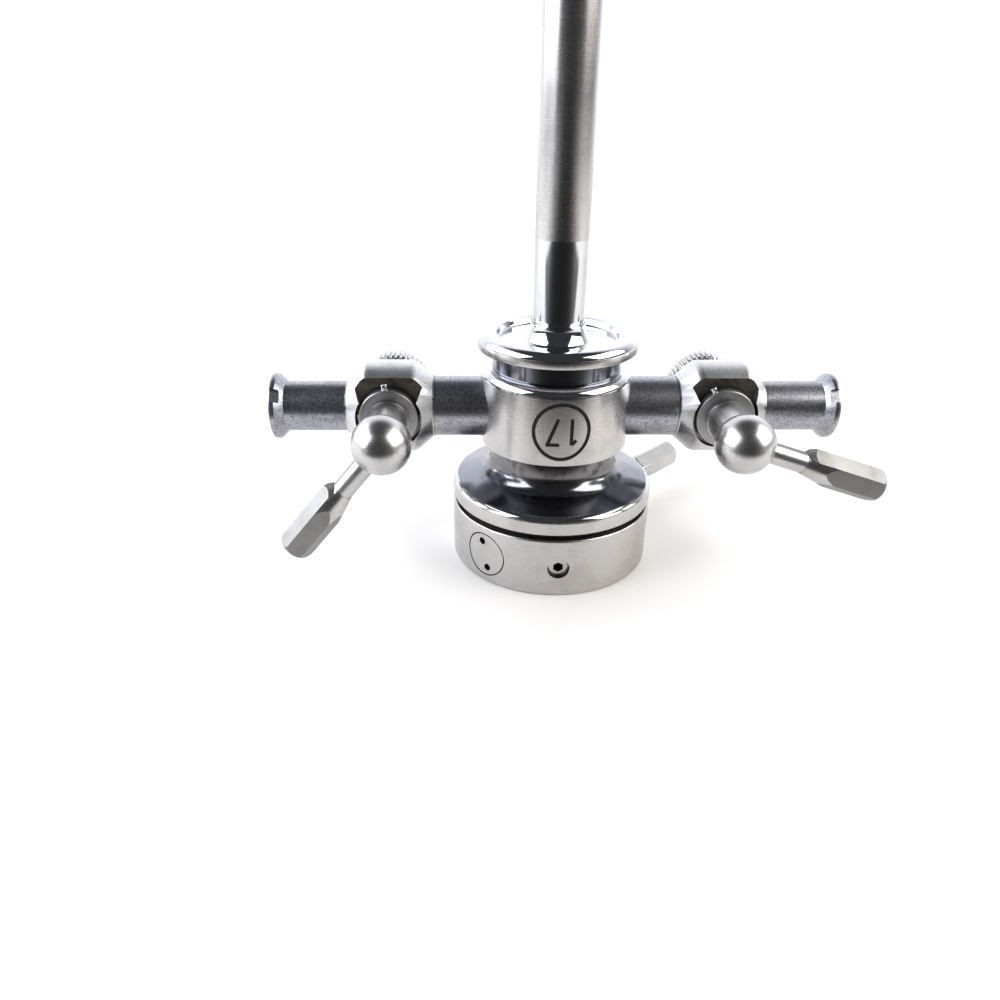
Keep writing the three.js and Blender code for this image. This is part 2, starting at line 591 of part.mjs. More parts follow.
// A lever along +X whose rod is seated in a surface at a distance from the origin. Its flat faces
// look along Y and its upper corner is +Z.
function lever(surface, rodLength) {
  const rodStart = surface - ROD_SEAT_DEPTH;
  const paddleStart = surface + rodLength;
  const paddleEnd = paddleStart + PADDLE_LENGTH;
  const full = paddleStart + PADDLE_TAPER;
  const rootHalf = ROD_RADIUS * PADDLE_ROOT_SHARE;
  const width = PADDLE_RADIUS;
  const thickness = PADDLE_RADIUS * Math.cos(radians(30));
  const rod = bar(ROD_RADIUS, rodStart, paddleStart + ROD_RADIUS, "x", SMALL_ROUND);
  const face = [
    [paddleStart, -ROD_RADIUS],
    [full, -width],
    [paddleEnd - PADDLE_END_CHAMFER, -width],
    [paddleEnd, -width + PADDLE_END_CHAMFER],
    [paddleEnd, width - PADDLE_END_CHAMFER],
    [paddleEnd - PADDLE_END_CHAMFER, width],
    [paddleStart + PADDLE_SHOULDER, width],
    [paddleStart, ROD_RADIUS],
  ];
  const edge = [
    [paddleStart, -rootHalf],
    [full, -thickness],
    [paddleEnd, -thickness],
    [paddleEnd, thickness],
    [full, thickness],
    [paddleStart, rootHalf],
  ];
  const hexagon = arc(0, 0, PADDLE_RADIUS, 90, 390, 5);
  const span = 4 * width;
  const faceCut = solid(extruded(face, span).rotateX(Math.PI / 2)).translate([0, span / 2, 0]);
  const edgeCut = solid(extruded(edge, span)).translate([0, 0, -span / 2]);
  const along = extruded(hexagon, PADDLE_LENGTH + 2 * PAST).rotateX(Math.PI / 2).rotateZ(Math.PI / 2);
  const sectionCut = solid(along).translate([paddleStart - PAST, 0, 0]);
  return rod.add(faceCut.intersect(edgeCut).intersect(sectionCut));
}

function thrustWasher() {
  const start = REAR_FACE_Y + SEAT_GAP;
  const end = start + THRUST_WASHER_THICKNESS;
  return ring(TAIL_RADIUS + SEAT_GAP, THRUST_WASHER_RADIUS, start, end, "y", TAP_ROUND);
}

// A dished washer that draws the plug into its cone.
function springWasher() {
  const inner = TAIL_RADIUS + 2 * SEAT_GAP;
  const start = REAR_FACE_Y + THRUST_WASHER_THICKNESS + 2 * SEAT_GAP;
  return turned([
    [inner, start + SPRING_WASHER_RISE],
    [SPRING_WASHER_RADIUS, start],
    [SPRING_WASHER_RADIUS, start + SPRING_WASHER_THICKNESS],
    [inner, start + SPRING_WASHER_RISE + SPRING_WASHER_THICKNESS],
    [inner, start + SPRING_WASHER_RISE],
  ], "y", TAP_ROUND);
}

function knurledNut() {
  const bore = TAIL_RADIUS + SEAT_GAP;
  const recess = SPRING_WASHER_RADIUS + NUT_RECESS_CLEARANCE;
  const recessDepth = SPRING_WASHER_RISE + SPRING_WASHER_THICKNESS + NUT_RECESS_CLEARANCE;
  const blank = turned([
    [recess, NUT_FRONT_Y],
    [NUT_RADIUS - NUT_CHAMFER, NUT_FRONT_Y],
    [NUT_RADIUS, NUT_FRONT_Y + NUT_CHAMFER],
    [NUT_RADIUS, NUT_END_Y - NUT_CHAMFER],
    [NUT_RADIUS - NUT_CHAMFER, NUT_END_Y],
    [bore, NUT_END_Y],
    [bore, NUT_FRONT_Y + recessDepth],
    [recess, NUT_FRONT_Y + recessDepth],
    [recess, NUT_FRONT_Y],
  ], "y", KNURL_TEETH);
  const outline = Array.from({ length: 2 * KNURL_TEETH }, (_, i) => {
    const radius = i % 2 ? NUT_RADIUS - KNURL_DEPTH : NUT_RADIUS;
    const angle = (i * Math.PI) / KNURL_TEETH;
    return [radius * Math.cos(angle), radius * Math.sin(angle)];
  });
  const teeth = solid(extruded(outline, NUT_LENGTH + 2 * PAST).rotateX(-Math.PI / 2));
  return blank.intersect(teeth.translate([0, NUT_FRONT_Y - PAST, 0]));
}

for (const side of ["left", "right"]) {
  const { arm, tap } = sides[side];
  add(arm, `${side}_inner_arm`, innerArm().translate([0, 0, ARM_Z]), blasted);
  add(arm, `${side}_tap_housing`, tapHousing().translate([TAP_X, 0, ARM_Z]), satin);
  add(arm, `${side}_luer_tube`, luerTube(), blasted);
  add(tap, `${side}_tap_plug`, tapPlug(), satin);
  add(tap, `${side}_tap_lever`, lever(BALL_RADIUS, TAP_ROD_LENGTH).translate([0, -BALL_Y, 0]), satin);
  add(tap, `${side}_stop_pin`, stopPin(0, 0), polished);
  add(tap, `${side}_thrust_washer`, thrustWasher(), satin);
  add(tap, `${side}_spring_washer`, springWasher(), spring);
  add(tap, `${side}_knurled_nut`, knurledNut(), satin);
}

// Lock ring with its lever, detent and guide screw ------------------------------------------------

const RING_BORE_RADIUS = SPIGOT_RADIUS + RUNNING_FIT;
const DETENT_SEAT_RADIUS = LOCK_RING_RADIUS - DETENT_SCREW_THICKNESS;
const DETENT_HOLE_RADIUS = DETENT_BALL_RADIUS + SEAT_GAP;
const GUIDE_HOLE_RADIUS = GUIDE_SCREW_RADIUS + SEAT_GAP;

function lockRing() {
  const chamfer = LOCK_RING_CHAMFER;
  const lipBore = SPIGOT_RADIUS - LOCK_LIP_WIDTH;
  let body = turned([
    [lipBore, 0],
    [LOCK_RING_RADIUS - chamfer, 0],
    [LOCK_RING_RADIUS, chamfer],
    [LOCK_RING_RADIUS, LOCK_RING_HEIGHT - chamfer],
    [LOCK_RING_RADIUS - chamfer, LOCK_RING_HEIGHT],
    [RING_BORE_RADIUS, LOCK_RING_HEIGHT],
    [RING_BORE_RADIUS, LOCK_LIP_HEIGHT],
    [lipBore, LOCK_LIP_HEIGHT],
    [lipBore, 0],
  ]);
  const past = LOCK_RING_RADIUS + PAST;
  const slotLength = 2 * (RING_BORE_RADIUS - BAYONET_SLOT_END);
  body = body.subtract(block(slotLength, BAYONET_SLOT_WIDTH, 2 * LOCK_LIP_HEIGHT));
  const guideHole = bar(GUIDE_HOLE_RADIUS, SPIGOT_RADIUS - PAST, past, "x", SMALL_ROUND);
  body = body.subtract(pointedFromFront(guideHole, GUIDE_SCREW_ANGLE, DETENT_Z));
  const screwHole = bar(DETENT_SCREW_RADIUS + SEAT_GAP, DETENT_SEAT_RADIUS - SEAT_GAP, past, "x");
  const springHole = bar(DETENT_HOLE_RADIUS, SPIGOT_RADIUS - PAST, past, "x", SMALL_ROUND);
  body = body.subtract(pointedFromFront(screwHole.add(springHole), DETENT_ANGLE, DETENT_Z));
  const seat = LOCK_RING_RADIUS - ROD_SEAT_DEPTH - SEAT_GAP;
  const leverHole = bar(ROD_RADIUS + SEAT_GAP, seat, past, "x", SMALL_ROUND);
  return body.subtract(turnedAboutZ(leverHole, LOCK_LEVER_ANGLE).translate([0, 0, LOCK_LEVER_Z]));
}

function lockLever() {
  const body = lever(LOCK_RING_RADIUS, LOCK_ROD_LENGTH);
  return turnedAboutZ(body, LOCK_LEVER_ANGLE).translate([0, 0, LOCK_LEVER_Z]);
}

// The screw that closes the detent's hole, flush with the ring and turned by a two-pin spanner.
function detentScrew() {
  const outside = LOCK_RING_RADIUS + PAST;
  let body = bar(DETENT_SCREW_RADIUS, DETENT_SEAT_RADIUS, outside, "x");
  const half = SPANNER_HOLE_SPACING / 2;
  const floor = LOCK_RING_RADIUS - SPANNER_HOLE_DEPTH;
  for (const height of [-half, half]) {
    const hole = bar(SPANNER_HOLE_RADIUS, floor, outside + PAST, "x", 16).translate([0, 0, height]);
    body = body.subtract(hole.rotate([-SPANNER_HOLE_TILT, 0, 0]));
  }
  const flush = bar(LOCK_RING_RADIUS, -LOCK_RING_HEIGHT, LOCK_RING_HEIGHT, "z", ROUND);
  return pointedFromFront(body, DETENT_ANGLE, 0).intersect(flush).translate([0, 0, DETENT_Z]);
}

const BALL_SEAT_RADIUS = SPIGOT_RADIUS - GUIDE_GROOVE_DEPTH + DETENT_BALL_RADIUS + SEAT_GAP;

function detentBall() {
  const ball = solid(new THREE.SphereGeometry(DETENT_BALL_RADIUS, 12, 8));
  return pointedFromFront(ball.translate([BALL_SEAT_RADIUS, 0, 0]), DETENT_ANGLE, DETENT_Z);
}

// A short coil spring between the ball and the screw.
function detentSpring() {
  const coilRadius = DETENT_BALL_RADIUS - DETENT_SPRING_WIRE - DETENT_SPRING_CLEARANCE;
  const ballCap = Math.sqrt(DETENT_BALL_RADIUS ** 2 - (coilRadius - DETENT_SPRING_WIRE) ** 2);
  const start = BALL_SEAT_RADIUS + ballCap + DETENT_SPRING_WIRE;
  const end = DETENT_SEAT_RADIUS - DETENT_SPRING_WIRE - SEAT_GAP;
  const steps = Math.round(14 * DETENT_SPRING_TURNS);
  const points = Array.from({ length: steps + 1 }, (_, i) => {
    const angle = (2 * Math.PI * DETENT_SPRING_TURNS * i) / steps;
    const along = start + ((end - start) * i) / steps;
    return new THREE.Vector3(along, coilRadius * Math.cos(angle), coilRadius * Math.sin(angle));
  });
  const section = arc(0, 0, DETENT_SPRING_WIRE, 0, 300, 5);
  const wire = new THREE.Shape(section.map(([x, y]) => new THREE.Vector2(x, y)));
  const path = new THREE.CatmullRomCurve3(points);
  const coil = new THREE.ExtrudeGeometry(wire, { extrudePath: path, steps, bevelEnabled: false });
  return pointedFromFront(solid(coil), DETENT_ANGLE, DETENT_Z);
}

function guideScrew() {
  const tip = SPIGOT_RADIUS - GUIDE_GROOVE_DEPTH + 2 * SEAT_GAP;
  const end = LOCK_RING_RADIUS - GUIDE_SCREW_SUNK;
  const body = bar(GUIDE_SCREW_RADIUS, tip, end, "x", SMALL_ROUND);
  const socket = bar(GUIDE_SCREW_SOCKET_RADIUS, end - GUIDE_SCREW_SOCKET_DEPTH, end + PAST, "x", 6);
  return pointedFromFront(body.subtract(socket), GUIDE_SCREW_ANGLE, DETENT_Z);
}

add(head, "lock_ring", lockRing(), satin);
add(head, "lock_lever", lockLever(), satin);
add(head, "detent_screw", detentScrew(), satin);
add(head, "detent_ball", detentBall(), polished);
add(head, "detent_spring", detentSpring(), spring);
add(head, "guide_screw", guideScrew(), satin);

export default head;
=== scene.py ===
import math

import bmesh
import bpy
from mathutils import Matrix, Vector


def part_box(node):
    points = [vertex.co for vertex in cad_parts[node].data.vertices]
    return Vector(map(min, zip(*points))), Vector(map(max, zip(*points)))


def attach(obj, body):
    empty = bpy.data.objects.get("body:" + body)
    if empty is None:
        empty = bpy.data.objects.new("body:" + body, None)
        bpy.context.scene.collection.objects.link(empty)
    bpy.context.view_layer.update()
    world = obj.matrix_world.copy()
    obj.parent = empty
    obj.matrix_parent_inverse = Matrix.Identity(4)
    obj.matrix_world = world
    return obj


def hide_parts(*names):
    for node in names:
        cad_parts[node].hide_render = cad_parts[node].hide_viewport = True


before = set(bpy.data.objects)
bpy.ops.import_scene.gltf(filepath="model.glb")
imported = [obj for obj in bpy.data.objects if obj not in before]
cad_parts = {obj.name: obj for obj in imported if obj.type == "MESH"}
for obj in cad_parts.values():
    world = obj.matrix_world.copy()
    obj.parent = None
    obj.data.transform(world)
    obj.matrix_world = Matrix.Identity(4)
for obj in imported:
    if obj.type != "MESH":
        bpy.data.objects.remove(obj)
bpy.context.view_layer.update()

# The head and tube of a rigid endoscope sheath, size 17, in stainless steel. Sizes are in
# millimetres: X runs along the stopcock arms, -Y is the front and +Z runs up the tube.

# Steps of a full turn
LARGE_TURN = 192
MEDIUM_TURN = 96
SMALL_TURN = 48

# Edges that a maker breaks with a file or a polishing wheel
FINE_BREAK = 0.05
EDGE_BREAK = 0.09
SEAM = 0.05  # gap of brazed and screwed joints

# Hub
GROOVE_HEIGHT = 0.7
GROOVE_DEPTH = 0.7
FLANGE_HEIGHT = 2.0
BELL_SLOPE = 19  # degrees
BELL_EDGE_ROUND = 0.6
BELL_FILLET = 1.43  # from the corner along each face
NECK_RADIUS = 7.8
CORE_RADIUS = 6.6
COLLAR_SEAM = 0.2
SPIGOT_RADIUS = 9.0
SOCKET_MOUTH_RADIUS = 5.8
SOCKET_END_RADIUS = 5.0
SOCKET_DEPTH = 8.0
TUBE_SEAT_DEPTH = 2.6
LUMEN_RADIUS = 2.6

# Stopcock collar and its size mark
COLLAR_SHOULDER = 1.0
MARK_DEPTH = 0.12
MARK_CUTTER_REACH = 1.4  # to each side of the collar's face
MARK_LIFT = 0.1  # of the mark's centre above the arms' axis
MARK_RADIUS = 3.32
MARK_LINE = 0.4
MARK_STRETCH = 1.05  # the mark is a little taller than wide
SEVEN_BAR = ((-1.75, -1.45), (-0.2, -1.45))
SEVEN_STEM = ((-1.58, -1.5), (-0.42, 1.5))
ONE_STEM = ((1.15, -1.5), (1.15, 1.5))
ONE_FLAG = ((1.2, -1.47), (1.7, -0.95))

# Front disc
UPPER_NECK_RADIUS = 7.6
DISC_BOTTOM_RISE = 2.4  # from the disc piece's foot to the disc's underside
DISC_THICKNESS = 1.75
DISC_ROUND = 0.95
DISC_RIM = 2.25
DISH_DEPTH = 0.8
ROOT_WALL = 0.12
ROOT_FLARE = 0.6

# Tube: buffed from the disc up to here, satin beyond
BUFFED_LENGTH = 10.4
TIP_MOUTH_ANGLE = 35  # degrees
TIP_MOUTH_RISE = 3.0
TIP_WALL = 0.55

# Stopcock housings
BARREL_HALF_LENGTH = 2.95
BARREL_EDGE_ROUND = 0.5
END_BAND = 0.15
INNER_END_STEP = 0.1
OUTER_END_STEP = 0.25
FLUID_BORE_RADIUS = 1.5
FRONT_FACE_DEPTH = 2.35
REAR_FACE_DEPTH = 0.55
REAR_FACE_CLEARANCE = 0.25
POCKET_CLEARANCE = 0.4
WINDOW_HALF_WIDTH = 3.1
WINDOW_BOTTOM = 1.6
WINDOW_ROOT = 0.6  # how far the window reaches down into the flange's pocket
WINDOW_FLARE = 0.48

# Luer ends
LUER_RIM = 0.45
LUER_BACK = 1.0
LUER_FOOT = 0.15
LUER_MOUTH_RADIUS = 2.15
LUER_CONE_DEPTH = 8.0
LUER_CONE_LOSS = 0.24
TUBE_STEP = 0.9  # from the outer tube's surface out to the lugs' rim
NOTCH_DEPTH = 0.55
NOTCH_ANGLE = 24  # degrees
NOTCH_TURN = 52  # degrees from the front

# Plugs
FLANGE_RADIUS = 3.45
FLANGE_BACK = 3.45
FLANGE_FRONT = 4.67
FLANGE_CHAMFER = 0.15
PLUG_FRONT_RADIUS = 2.9
PLUG_REAR_RADIUS = 2.3
STEM_RADIUS = 2.3
STEM_COLLAR = 0.13
STEM_COLLAR_HEIGHT = 0.75
STEM_FILLET = 1.1
BALL_RADIUS = 3.3
TAIL_RADIUS = 1.7
TAIL_CHAMFER = 0.35
STOP_PIN_RADIUS = 0.4
STOP_PIN_START = 2.85
STOP_PIN_REACH = 4.1
STOP_PIN_ANGLE = 135  # degrees from the lever
LEVER_DROP = {"left": 50, "right": 18}  # degrees that the levers point below the arms at rest

# Nuts and washers
NUT_CHAMFER = 0.3
KNURL_TEETH = 42
KNURL_DEPTH = 0.3
NUT_RECESS_RADIUS = 3.45  # around the spring washer
NUT_RECESS_DEPTH = 0.9
WASHER_BORE_CLEARANCE = 0.05
SPRING_WASHER_THICKNESS = 0.3

# Levers
ROD_RADIUS = 1.2
ROD_SEAT = 1.8
TAP_ROD_LENGTH = 3.8
LOCK_ROD_LENGTH = 6.2
PADDLE_LENGTH = 9.8
PADDLE_RADIUS = 2.0
PADDLE_TAPER = 3.9
PADDLE_SHOULDER = 0.9
PADDLE_END_CHAMFER = 0.9
LOCK_LEVER_ANGLE = 45  # degrees from +X

# Lock ring
RING_CHAMFER = 0.25
RING_BORE_RADIUS = 9.06
LIP_HEIGHT = 1.0
LIP_BORE_RADIUS = 7.2
BAYONET_SLOT_WIDTH = 3.6
BAYONET_SLOT_END = 0.2  # left between the slot's ends and the ring's bore
DETENT_ANGLE = -43.6  # degrees from the front towards +X
DETENT_SCREW_RADIUS = 2.7
DETENT_SCREW_THICKNESS = 1.1
DETENT_OUTLINE = 0.15  # the screw's visible seam
SPANNER_HOLE_RADIUS = 0.45
SPANNER_HOLE_SPACING = 3.5
SPANNER_HOLE_DEPTH = 0.7
SPANNER_HOLE_TILT = 13  # degrees
GUIDE_SCREW_RADIUS = 1.25
GUIDE_SCREW_SUNK = 0.45
GUIDE_SCREW_REACH = 0.7  # past the spigot's surface
GUIDE_SOCKET_RADIUS = 0.65
GUIDE_SOCKET_DEPTH = 1.0


# Frame and mesh helpers ---------------------------------------------------------------------------


def span(name):
    """A CAD node's lowest and highest corner, in millimetres."""
    low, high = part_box(name)
    return low * 1000, high * 1000


def turned(profile, steps=MEDIUM_TURN):
    """A [radius, height] profile turned about Z. One that doesn't end on the axis closes on itself."""
    bm = bmesh.new()
    points = [bm.verts.new((radius, 0, height)) for radius, height in profile]
    follow = points[1:] if profile[0][0] == 0 else points[1:] + points[:1]
    lines = [bm.edges.new(pair) for pair in zip(points, follow)]
    bmesh.ops.spin(bm, geom=points + lines, axis=(0, 0, 1), angle=math.tau, steps=steps, use_merge=True)
    bmesh.ops.remove_doubles(bm, verts=bm.verts, dist=1e-4)
    bmesh.ops.recalc_face_normals(bm, faces=bm.faces)
    return bm


def bar(radius, low, high, steps=SMALL_TURN):
    return turned([(0, low), (radius, low), (radius, high), (0, high)], steps)


def block(low, high):
    """A block between two corners."""
    low, high = Vector(low), Vector(high)
    bm = bmesh.new()
    matrix = Matrix.Translation((low + high) / 2) @ Matrix.Diagonal((*(high - low), 1))
    bmesh.ops.create_cube(bm, size=1, matrix=matrix)
    return bm


def place(bm, *steps):
    """Turns and moves a mesh. A step is an axis and an angle in degrees, or a shift."""
    for step in steps:
        if len(step) == 2:
            matrix = Matrix.Rotation(math.radians(step[1]), 4, step[0])
        else:
            matrix = Matrix.Translation(step)
        bmesh.ops.transform(bm, matrix=matrix, verts=bm.verts)
    return bm


ALONG_X = ("Y", 90)
ALONG_Y = ("X", -90)


def ring_edges(bm, radius, height):
    """The edges of the ring that a profile's point has drawn about Z."""
    def on_ring(vert):
        return abs(vert.co.xy.length - radius) < 1e-3 and abs(vert.co.z - height) < 1e-3
    return [edge for edge in bm.edges if all(on_ring(vert) for vert in edge.verts)]


def round_off(bm, edges, width, segments=3):
    bmesh.ops.bevel(
        bm, geom=edges, offset=width, offset_type="OFFSET", segments=segments,
        profile=0.5, affect="EDGES", clamp_overlap=True, material=-1,
    )


def break_edges(bm, width=FINE_BREAK, limit=28, segments=2):
    """Rounds every edge that turns by more than a limit, in degrees."""
    sharp = [e for e in bm.edges if e.is_manifold and e.calc_face_angle(0) > math.radians(limit)]
    round_off(bm, sharp, width, segments)


def scratch_object(bm, name):
    mesh = bpy.data.meshes.new(name)
    bm.to_mesh(mesh)
    bm.free()
    made = bpy.data.objects.new(name, mesh)
    bpy.context.scene.collection.objects.link(made)
    return made


def cut(bm, *tools, operation="DIFFERENCE"):
    """The mesh with each tool taken away from it, or kept to what it shares with the tools."""
    target = scratch_object(bm, "target")
    cutters = [scratch_object(tool, "cutter") for tool in tools]
    for cutter in cutters:
        step = target.modifiers.new("cut", "BOOLEAN")
        step.operation = operation
        step.solver = "MANIFOLD"
        step.object = cutter
    result = bmesh.new()
    result.from_object(target, bpy.context.evaluated_depsgraph_get())
    for used in (target, *cutters):
        mesh = used.data
        bpy.data.objects.remove(used)
        bpy.data.meshes.remove(mesh)
    bmesh.ops.remove_doubles(result, verts=result.verts, dist=2e-3)
    bmesh.ops.dissolve_degenerate(result, edges=result.edges, dist=2e-3)
    return result


def paint(bm, index, chosen):
    """Gives the faces whose middle is chosen another of the piece's materials."""
    for face in bm.faces:
        if chosen(face.calc_center_median()):
            face.material_index = index


def finish_piece(bm, name, nodes, body, slot, *materials, smooth_limit=32):
    """Makes the mesh a piece in metres that rides on its body and stands for its CAD nodes."""
    bmesh.ops.scale(bm, vec=(0.001, 0.001, 0.001), verts=bm.verts)
    for face in bm.faces:
        face.smooth = True
    for edge in bm.edges:
        edge.smooth = edge.is_manifold and edge.calc_face_angle(0) < math.radians(smooth_limit)
    piece = scratch_object(bm, name)
    for material in materials:
        piece.data.materials.append(material)
    shading = piece.modifiers.new("shading", "WEIGHTED_NORMAL")
    shading.keep_sharp = True
    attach(piece, body)
    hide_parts(*nodes)
    return piece


# Materials ----------------------------------------------------------------------------------------


def srgb(text):
    """A linear colour from an sRGB hex value."""
    parts = [int(text[i:i + 2], 16) / 255 for i in (1, 3, 5)]
    return tuple(c / 12.92 if c <= 0.04045 else ((c + 0.055) / 1.055) ** 2.4 for c in parts) + (1.0,)


def per_mm(size):
    """A texture scale on coordinates in metres for a feature of that size in millimetres."""
    return 1000 / size


def add_node(tree, kind, sockets=None, **settings):
    """Adds a node, sets it up, and gives each named socket a value or a link."""
    made = tree.nodes.new(kind)
    for key, value in settings.items():
        setattr(made, key, value)
    for key, value in (sockets or {}).items():
        if isinstance(value, bpy.types.NodeSocket):
            tree.links.new(value, made.inputs[key])
        else:
            made.inputs[key].default_value = value
    return made


def steel(name, colour, worn_colour, roughness, marks, mark_depth, cloud=4.0, grain=None):
    """Bare stainless steel. Marks are the tool marks' size along X, Y and Z in millimetres, and
    mark_depth and grain's depth are heights in millimetres. Clouds are the handling haze."""
    material = bpy.data.materials.new(name)
    material.use_nodes = True
    tree = material.node_tree
    tree.nodes.clear()
    place_in = add_node(tree, "ShaderNodeTexCoord").outputs["Object"]
    stretched = add_node(tree, "ShaderNodeMapping", {
        "Vector": place_in, "Scale": [per_mm(m) for m in marks]})
    lines = add_node(tree, "ShaderNodeTexNoise", {
        "Vector": stretched.outputs["Vector"], "Scale": 1.0, "Detail": 3.0, "Roughness": 0.6})
    haze = add_node(tree, "ShaderNodeTexNoise", {
        "Vector": place_in, "Scale": per_mm(cloud), "Detail": 5.0, "Roughness": 0.62})
    dulled = add_node(tree, "ShaderNodeMapRange", {
        "Value": haze.outputs["Fac"], "From Min": 0.32, "From Max": 0.72,
        "To Min": roughness * 0.9, "To Max": roughness * 1.15})
    lined = add_node(tree, "ShaderNodeMapRange", {
        "Value": lines.outputs["Fac"], "From Min": 0.3, "From Max": 0.7,
        "To Min": -0.04 * roughness, "To Max": 0.08 * roughness})
    rough = add_node(tree, "ShaderNodeMath", {0: dulled.outputs["Result"], 1: lined.outputs["Result"]})
    worn = add_node(tree, "ShaderNodeMapRange", {
        "Value": haze.outputs["Fac"], "From Min": 0.5, "From Max": 0.75, "To Min": 0.0, "To Max": 1.0})
    tone = add_node(tree, "ShaderNodeMix", {
        "Factor": worn.outputs["Result"], "A": srgb(colour), "B": srgb(worn_colour)}, data_type="RGBA")
    bump = add_node(tree, "ShaderNodeBump", {
        "Height": lines.outputs["Fac"], "Strength": 1.0, "Distance": mark_depth / 1000})
    if grain:
        size, depth, pit_colour = grain
        pits = add_node(tree, "ShaderNodeTexNoise", {
            "Vector": place_in, "Scale": per_mm(size), "Detail": 2.0, "Roughness": 0.5})
        bump = add_node(tree, "ShaderNodeBump", {
            "Height": pits.outputs["Fac"], "Strength": 1.0, "Distance": depth / 1000,
            "Normal": bump.outputs["Normal"]})
        raised = add_node(tree, "ShaderNodeMapRange", {
            "Value": pits.outputs["Fac"], "From Min": 0.38, "From Max": 0.56, "To Min": 0.0, "To Max": 1.0})
        tone = add_node(tree, "ShaderNodeMix", {
            "Factor": raised.outputs["Result"], "A": srgb(pit_colour), "B": tone.outputs["Result"]},
            data_type="RGBA")
    surface = add_node(tree, "ShaderNodeBsdfPrincipled", {
        "Base Color": tone.outputs["Result"], "Metallic": 1.0,
        "Roughness": rough.outputs["Value"], "Normal": bump.outputs["Normal"]})
    add_node(tree, "ShaderNodeOutputMaterial", {"Surface": surface.outputs["BSDF"]})
    return material


def tool_marks(axis, pitch, length=9.0):
    """Marks that run round an axis: fine along it and long across it."""
    return [pitch if axis == direction else length for direction in "XYZ"]


# Stainless steel after a cutting tool and fine emery: a soft, streaked grey shine whose lines run
# round the turned piece. Real lines are a few hundredths of a millimetre apart and are drawn at
# 0.09 mm, the finest that shows.
turned_z = steel("satin_turned_steel", "#BFBDBC", "#B2AFAC", 0.26, tool_marks("Z", 0.09), 0.0002)
turned_y = steel("satin_turned_steel_y", "#C0BFBE", "#B1AFAD", 0.25, tool_marks("Y", 0.09), 0.0006)
face_turned = steel("face_turned_steel", "#A9A9AA", "#9B9A9A", 0.38, tool_marks("Y", 0.12), 0.001)
# The same steel buffed with compound: sharp reflections under a light haze from handling.
buffed = steel("buffed_steel", "#C6C7CA", "#B7B8BB", 0.08, tool_marks("Z", 0.25), 0.0002)
# Buffed less: reflections stay, with soft edges.
half_buffed = steel("half_buffed_steel", "#C2C1C1", "#B3B1AF", 0.28, tool_marks("Y", 0.14), 0.0002)
# Buffed steel in a darker blue-grey: painted shade that dims the reflections on the hub's bell and on the
# neck under the front disc.
shaded_buffed = steel("shaded_buffed_steel", "#8A8C93", "#73757B", 0.15, tool_marks("Z", 0.25), 0.0002)
# Blasted with glass beads of about 0.1 mm: an even, sparkling grey without direction.
blasted = steel("bead_blasted_steel", "#B4B5BA", "#9FA0A6", 0.32, tool_marks("X", 0.2), 0.0004,
                cloud=2.4, grain=(0.24, 0.012, "#8F9098"))
# Blasted with finer beads and wiped: paler and closer.
fine_blasted = steel("fine_blasted_steel", "#DADADB", "#CBCBCC", 0.36, tool_marks("X", 0.2), 0.0006,
                     cloud=3.0, grain=(0.16, 0.006, "#BEBEC0"))
# Milled faces: short straight cutter marks along the face.
milled = steel("milled_steel", "#929190", "#838281", 0.45, (0.15, 6.0, 6.0), 0.0005)
# Hardened and tempered spring steel: darker and a little yellow.
sprung = steel("spring_steel", "#A9A69F", "#98948B", 0.28, tool_marks("Y", 0.1), 0.001)


def dark_fill():
    """Matt black with a faint brown: ink in the cut size mark, the dark seam round the detent screw, and
    painted shade in the hub's groove, the spanner holes and the hex socket.
    """
    material = bpy.data.materials.new("etch_ink_and_painted_shade")
    material.use_nodes = True
    tree = material.node_tree
    tree.nodes.clear()
    place_in = add_node(tree, "ShaderNodeTexCoord").outputs["Object"]
    flecks = add_node(tree, "ShaderNodeTexNoise", {
        "Vector": place_in, "Scale": per_mm(0.5), "Detail": 4.0, "Roughness": 0.6})
    tone = add_node(tree, "ShaderNodeMix", {
        "Factor": flecks.outputs["Fac"], "A": srgb("#15110F"), "B": srgb("#3A332E")}, data_type="RGBA")
    bump = add_node(tree, "ShaderNodeBump", {
        "Height": flecks.outputs["Fac"], "Strength": 1.0, "Distance": 0.00001})
    surface = add_node(tree, "ShaderNodeBsdfPrincipled", {
        "Base Color": tone.outputs["Result"], "Roughness": 0.55, "Normal": bump.outputs["Normal"]})
    add_node(tree, "ShaderNodeOutputMaterial", {"Surface": surface.outputs["BSDF"]})
    return material


ink_and_shade_black = dark_fill()
# Darker, rougher steel as painted shade in recesses: the floors of the housings' windows and pockets above
# the plugs, and the hole round the sunk guide screw.
recess_shade_steel = steel("painted_recess_shade_steel", "#736E67", "#45413C", 0.5, (0.3, 0.3, 0.3), 0.003, cloud=1.0)
# The hub's neck under the collar: polish under a brown-black film of residue, darkened further as painted
# shade from the collar's overhang.
stained_and_shaded = steel("stained_and_shaded_steel", "#7C7B7D", "#3E3B3A", 0.22, tool_marks("Z", 0.2), 0.001, cloud=1.6)

# Hub ----------------------------------------------------------------------------------------------

ring_low, ring_high = span("lock_ring")
collar_low, collar_high = span("stopcock_collar")
hub_low, hub_high = span("hub_body")
arm_z = (span("left_luer_tube")[0].z + span("left_luer_tube")[1].z) / 2


